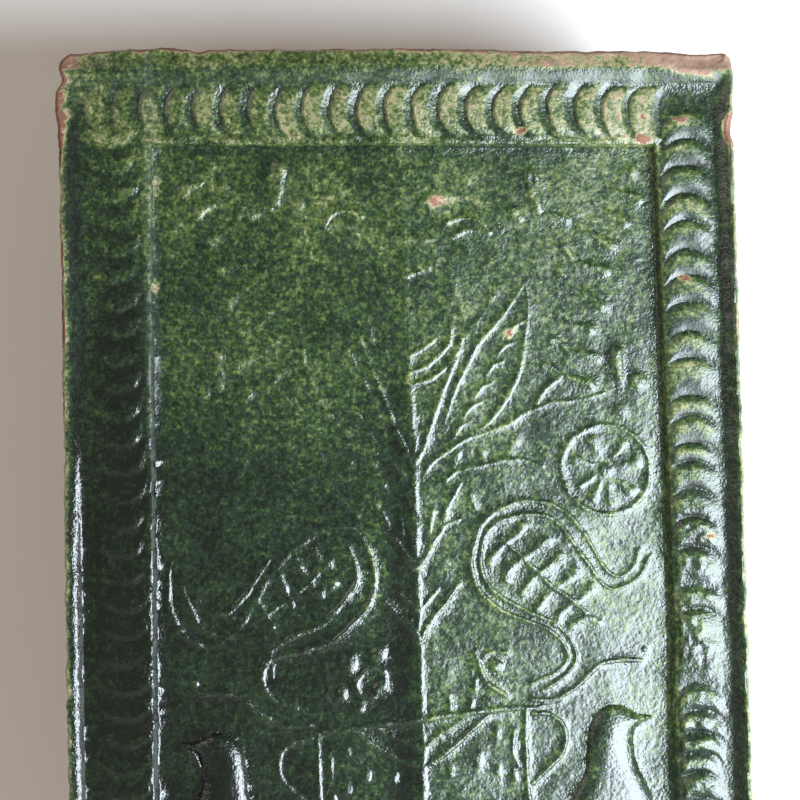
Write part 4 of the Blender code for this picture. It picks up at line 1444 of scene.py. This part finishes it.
def glaze_group():
    """In: thickness from 0 (bare clay) to 1 (a pool), how smooth, worn and dull the glaze is, and how
    pale the clay under it. Out: colour, roughness and the skin's height in mm."""
    group, given, out = new_group(
        "green glaze", [("Thickness", 0.6), ("Pool", 0.0), ("Worn", 0.0), ("Matt", 0.0), ("Pale", 0.4)],
        [("Colour", "NodeSocketColor"), ("Roughness", "NodeSocketFloat"), ("Height", "NodeSocketFloat")])
    thickness = given.outputs["Thickness"]
    specks = noise(group, 960, 2.0, 0.7)
    uneven = add(group, swing(group, specks, 1.05), swing(group, noise(group, 460, 2.0, 0.55), 0.85),
                 swing(group, noise(group, 45), 0.30))
    seen = add(group, thickness, uneven, clamp=True)
    clay = place_group(group, fired_clay)
    group.links.new(given.outputs["Pale"], clay.inputs["Pale"])
    patchy = add(group, thickness, swing(group, specks, 0.5))
    bare = remap(group, patchy, 0.04, 0.13, 1.0, 0.0)
    colour = mix(group, bare, glass_colour(group, thickness, seen), clay.outputs["Colour"])
    group.links.new(colour, out.inputs["Colour"])
    group.links.new(glaze_roughness(group, given, seen, bare), out.inputs["Roughness"])
    group.links.new(glaze_skin(group, given), out.inputs["Height"])
    return group


green_glaze = glaze_group()
print("Group:", green_glaze.name, "with", len(green_glaze.nodes), "nodes")

# %% [markdown]
# ## The finish of the face
#
# The face reads its glaze from the five attributes. A bump node turns the skin's height, in
# millimetres, into the orange-peel surface that makes the glaze sparkle.

# %% The glazed face
def new_material(name):
    material = bpy.data.materials.new(name)
    material.use_nodes = True
    return material, material.node_tree, material.node_tree.nodes["Principled BSDF"]


def bumped(tree, height, shader):
    """Bumps the shader's surface by a height in mm."""
    bump = tree.nodes.new("ShaderNodeBump")
    bump.inputs["Strength"].default_value = 1.0
    bump.inputs["Distance"].default_value = MM
    tree.links.new(height, bump.inputs["Height"])
    tree.links.new(bump.outputs["Normal"], shader.inputs["Normal"])


def glazed_face():
    material, tree, shader = new_material("green glaze on clay")
    look = place_group(tree, green_glaze)
    for name, label in zip(fields, ("Thickness", "Pool", "Worn", "Matt", "Pale")):
        attribute = tree.nodes.new("ShaderNodeAttribute")
        attribute.attribute_name = name
        tree.links.new(attribute.outputs["Fac"], look.inputs[label])
    tree.links.new(look.outputs["Colour"], shader.inputs["Base Color"])
    tree.links.new(look.outputs["Roughness"], shader.inputs["Roughness"])
    bumped(tree, look.outputs["Height"], shader)
    shader.inputs["IOR"].default_value = 1.55
    return material


face_finish = glazed_face()
print("Finish of the face:", face_finish.name)

# %% [markdown]
# ## The finish of the rump
#
# The clay behind the face has no glaze on its points, so there the glaze is only a few drips that ran
# over the slab's edge, found by their depth. The hollow is sooty, because the fire's smoke got in
# behind the tile, and the outside still wears patches of the lime it was bedded in. Both are clouds
# of noise that grow weaker or stronger with the depth.

# %% The clay of the rump
SOOT = (0.045, 0.035, 0.028, 1.0)
LIME = (0.55, 0.50, 0.43, 1.0)
SHORTEST_DRIP, DRIPS_VARY = -0.0725, 0.016  # metres: how far back the shortest drip ends, and the rest


def rump_clay():
    material, tree, shader = new_material("fired clay of the rump")
    clay, look = place_group(tree, fired_clay), place_group(tree, green_glaze)
    clay.inputs["Pale"].default_value = 0.72
    place = tree.nodes.new("ShaderNodeSeparateXYZ")
    tree.links.new(object_place(tree), place.inputs["Vector"])
    depth = place.outputs["Y"]

    line = calculate(tree, "MULTIPLY_ADD", noise(tree, 95, 2.0, 0.6), DRIPS_VARY, SHORTEST_DRIP)
    drips = remap(tree, calculate(tree, "SUBTRACT", depth, line), -0.0012, 0.0006, 0.62, 0.0)
    tree.links.new(drips, look.inputs["Thickness"])
    soot = multiply(tree, remap(tree, noise(tree, 16, 3.0, 0.6), 0.36, 0.66, 0.0, 0.75),
                    remap(tree, depth, -0.0558, -0.035, 0.75, 0.35))
    lime = multiply(tree, remap(tree, noise(tree, 34, 4.0, 0.65), 0.56, 0.68, 0.0, 0.8),
                    remap(tree, depth, -0.05, -0.008, 0.25, 1.0))
    mortared = mix(tree, lime, mix(tree, soot, clay.outputs["Colour"], SOOT), LIME)
    glazed = remap(tree, drips, 0.06, 0.14)
    tree.links.new(mix(tree, glazed, mortared, look.outputs["Colour"]), shader.inputs["Base Color"])
    tree.links.new(remap(tree, glazed, 0.0, 1.0, 0.85, 0.25), shader.inputs["Roughness"])

    # the clay's grain, and the marks of the wiping hand, which run round the collar
    grain = multiply(tree, clay.outputs["Grain"], 0.10)
    drag = multiply(tree, noise(tree, 120, 3.0, 0.6, distortion=0.4, stretch=(1.0, 3.0, 1.0)), 0.35)
    bumped(tree, add(tree, grain, drag), shader)
    return material


back_finish = rump_clay()
print("Finish of the rump:", back_finish.name)

# %% Give each face its finish
GLAZED, CLAY = 0, 1
FACING_US = -0.02  # a face's normal points this far towards -Y or further
for piece in (tile, collar, floor):
    piece.data.materials.clear()
    piece.data.materials.append(face_finish)
    piece.data.materials.append(back_finish)
    for face in piece.data.polygons:
        face.material_index = GLAZED if piece is tile and face.normal.y < FACING_US else CLAY
print("Glazed faces:", sum(face.material_index == GLAZED for face in tile.data.polygons))

# %% [markdown]
# ## One piece of clay
#
# Slab, pressed back and collar are joined by Boolean unions, the exact kind, because the real tile
# is one solid piece. Then the clay part gets its own place in the map, and the whole is shaded
# smooth except at its true edges.

# %% Join them
deselect_all()
tile.select_set(True)
for part in (floor, collar):
    combine(tile, part, "UNION")
print("Joined tile:", len(tile.data.polygons), "faces")

# %% Map the clay and shade the whole
MAP_GAP = 0.01  # round the clay's part of the map
SHARP = math.radians(48)  # where the surface turns by more than this, it has a true edge
tile.select_set(True)
bpy.context.view_layer.objects.active = tile
bpy.ops.object.mode_set(mode="EDIT")
bpy.ops.mesh.select_mode(type="FACE")
bpy.ops.mesh.select_all(action="DESELECT")
bpy.ops.object.mode_set(mode="OBJECT")
clay_corners = np.zeros(len(tile.data.loops), bool)
for face in tile.data.polygons:
    face.select = face.material_index == CLAY
    clay_corners[face.loop_start:face.loop_start + face.loop_total] = face.select
bpy.ops.object.mode_set(mode="EDIT")
bpy.ops.uv.smart_project(angle_limit=math.radians(60), island_margin=0.003)
bpy.ops.object.mode_set(mode="OBJECT")

places = read_map(tile.data)
clay_left, clay_width = FACE_MAP_WIDTH + MAP_GAP, 1 - 2 * MAP_GAP - FACE_MAP_WIDTH
places[0::2][clay_corners] = clay_left + clay_width * places[0::2][clay_corners]
tile.data.uv_layers[0].data.foreach_set("uv", places)
bpy.ops.object.shade_smooth_by_angle(angle=SHARP)
print("Finished tile:", len(tile.data.polygons), "faces,",
      sum(len(face.vertices) - 2 for face in tile.data.polygons), "triangles")

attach(tile, "root")
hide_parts("stove_tile")

# %% [markdown]
# ## The wall
#
# The tile's rump stands against a plain white board. The board is one-sided: from behind, its
# Backfacing lets us look through it at the rump, and it throws no shadow, so that the light behind it
# reaches into the rump. Below, the board curves forward into a pale floor. It starts as a plane,
# whose lower edge is spun forward through a quarter turn and then extruded.

# %% The board and floor
BOARD_GAP = 1.5
BOARD_HALF_WIDTH, BOARD_TOP, FLOOR_LEVEL, SWEEP = 1600, 1500, -520, 250
FLOOR_RUN = 2.2  # metres

deselect_all()
bpy.ops.mesh.primitive_plane_add(size=1)
board = bpy.context.object
board.name = board.data.name = "board"
bpy.ops.object.mode_set(mode="EDIT")
bpy.ops.transform.resize(value=(2 * BOARD_HALF_WIDTH * MM, 1, 1), center_override=(0, 0, 0))
bpy.ops.object.mode_set(mode="OBJECT")
for vertex in board.data.vertices:
    vertex.co.z = (BOARD_TOP if vertex.co.y > 0 else FLOOR_LEVEL + SWEEP) * MM
    vertex.co.y = BOARD_GAP * MM
bpy.ops.object.mode_set(mode="EDIT")
bpy.ops.mesh.select_mode(type="EDGE")
bpy.ops.mesh.select_all(action="DESELECT")
bpy.ops.object.mode_set(mode="OBJECT")
for edge in board.data.edges:
    edge.select = all(board.data.vertices[i].co.z < 0 for i in edge.vertices)
bpy.ops.object.mode_set(mode="EDIT")
bpy.ops.mesh.spin(steps=12, angle=math.radians(90), axis=(1, 0, 0),
                  center=(0, (BOARD_GAP - SWEEP) * MM, (FLOOR_LEVEL + SWEEP) * MM))
bpy.ops.mesh.extrude_region_move(TRANSFORM_OT_translate={"value": (0, -FLOOR_RUN, 0)})
bpy.ops.mesh.select_all(action="SELECT")
bpy.ops.object.mode_set(mode="OBJECT")
bpy.ops.object.shade_smooth()
lowest = min(vertex.co.z for vertex in board.data.vertices)
print("Board: lowest at", round(lowest, 3), "faces look", board.data.polygons[0].normal[:])

# %% Its paint
def board_paint():
    """White paint that can only be seen from the front."""
    material, tree, shader = new_material("white board")
    shader.inputs["Base Color"].default_value = (0.80, 0.785, 0.76, 1.0)
    shader.inputs["Roughness"].default_value = 0.9
    through = tree.nodes.new("ShaderNodeBsdfTransparent")
    choose = tree.nodes.new("ShaderNodeMixShader")
    tree.links.new(tree.nodes.new("ShaderNodeNewGeometry").outputs["Backfacing"], choose.inputs[0])
    tree.links.new(shader.outputs[0], choose.inputs[1])
    tree.links.new(through.outputs[0], choose.inputs[2])
    tree.links.new(choose.outputs[0], tree.nodes["Material Output"].inputs["Surface"])
    return material


board.data.materials.append(board_paint())
board.visible_shadow = False
print("Board's paint:", board.data.materials[0].name)

# %% [markdown]
# ## Light
#
# A soft window stands close by, low on the right, so that the glaze mirrors its edge on the right half
# of the panel and the left half stays dark. A large weak light at the upper left stands for the rest
# of the room, which is dim and warm. Another behind the board shows the rump from the back.

# %% Lights
def soft_light(name, place, target, size, watts, colour):
    """A rectangular area light at a place, turned towards its target."""
    lamp = bpy.data.lights.new(name, "AREA")
    lamp.shape, lamp.size, lamp.size_y = "RECTANGLE", *size
    lamp.energy, lamp.color = watts, colour
    stand = bpy.data.objects.new(name, lamp)
    bpy.context.scene.collection.objects.link(stand)
    stand.location = place
    aim = np.array(target) - np.array(place)
    turn = math.atan2(-aim[0], aim[1])
    stand.rotation_euler = (math.pi / 2 + math.atan2(aim[2], math.hypot(aim[0], aim[1])), 0, turn)
    print("Light:", name, round(float(np.linalg.norm(aim)), 2), "m away,", watts, "W")


panel_middle = (0.0, -0.065, 0.16)
soft_light("window", (0.28, -0.37, 0.02), panel_middle, (0.33, 0.44), 10.6, (0.85, 0.94, 1.04))
soft_light("room", (-1.6, -0.8, 1.1), panel_middle, (1.6, 1.6), 18.0, (1.0, 0.91, 0.82))
soft_light("back fill", (-0.5, 1.1, 0.6), (0, 0, 0.13), (0.8, 0.8), 9.0, (1.0, 0.97, 0.93))

# %% The room's own glow
world = bpy.data.worlds.new("room")
bpy.context.scene.world = world
world.use_nodes = True
glow = world.node_tree.nodes["Background"]
glow.inputs["Color"].default_value = (1.0, 0.87, 0.75, 1.0)
glow.inputs["Strength"].default_value = 0.21
bpy.context.scene.view_settings.view_transform = "Standard"
print("Glow of the room:", round(glow.inputs["Strength"].default_value, 2))

# %% [markdown]
# ## Camera
#
# The camera looks straight at the face, level with the middle of the upper part, so the tile's foot
# is cut off by the frame. A long distance and a narrow view keep the frame's lines straight.

# %% Camera
CAMERA_DISTANCE = 0.72
SEEN_WIDTH = 0.236
CAMERA_ASIDE, CAMERA_LEVEL = -0.00146, 0.17766
FACE_MIDDLE = (GROUND - 3) * MM  # the middle of the relief's depth, which is seen at SEEN_WIDTH

lens = bpy.data.cameras.new("camera")
camera = bpy.data.objects.new("camera", lens)
bpy.context.scene.collection.objects.link(camera)
camera.location = (CAMERA_ASIDE, FACE_MIDDLE - CAMERA_DISTANCE, CAMERA_LEVEL)
camera.rotation_euler = (math.pi / 2, 0, 0)
lens.sensor_width = 36.0
lens.lens = lens.sensor_width * CAMERA_DISTANCE / SEEN_WIDTH
bpy.context.scene.camera = camera
print("Lens:", round(lens.lens, 1), "mm")
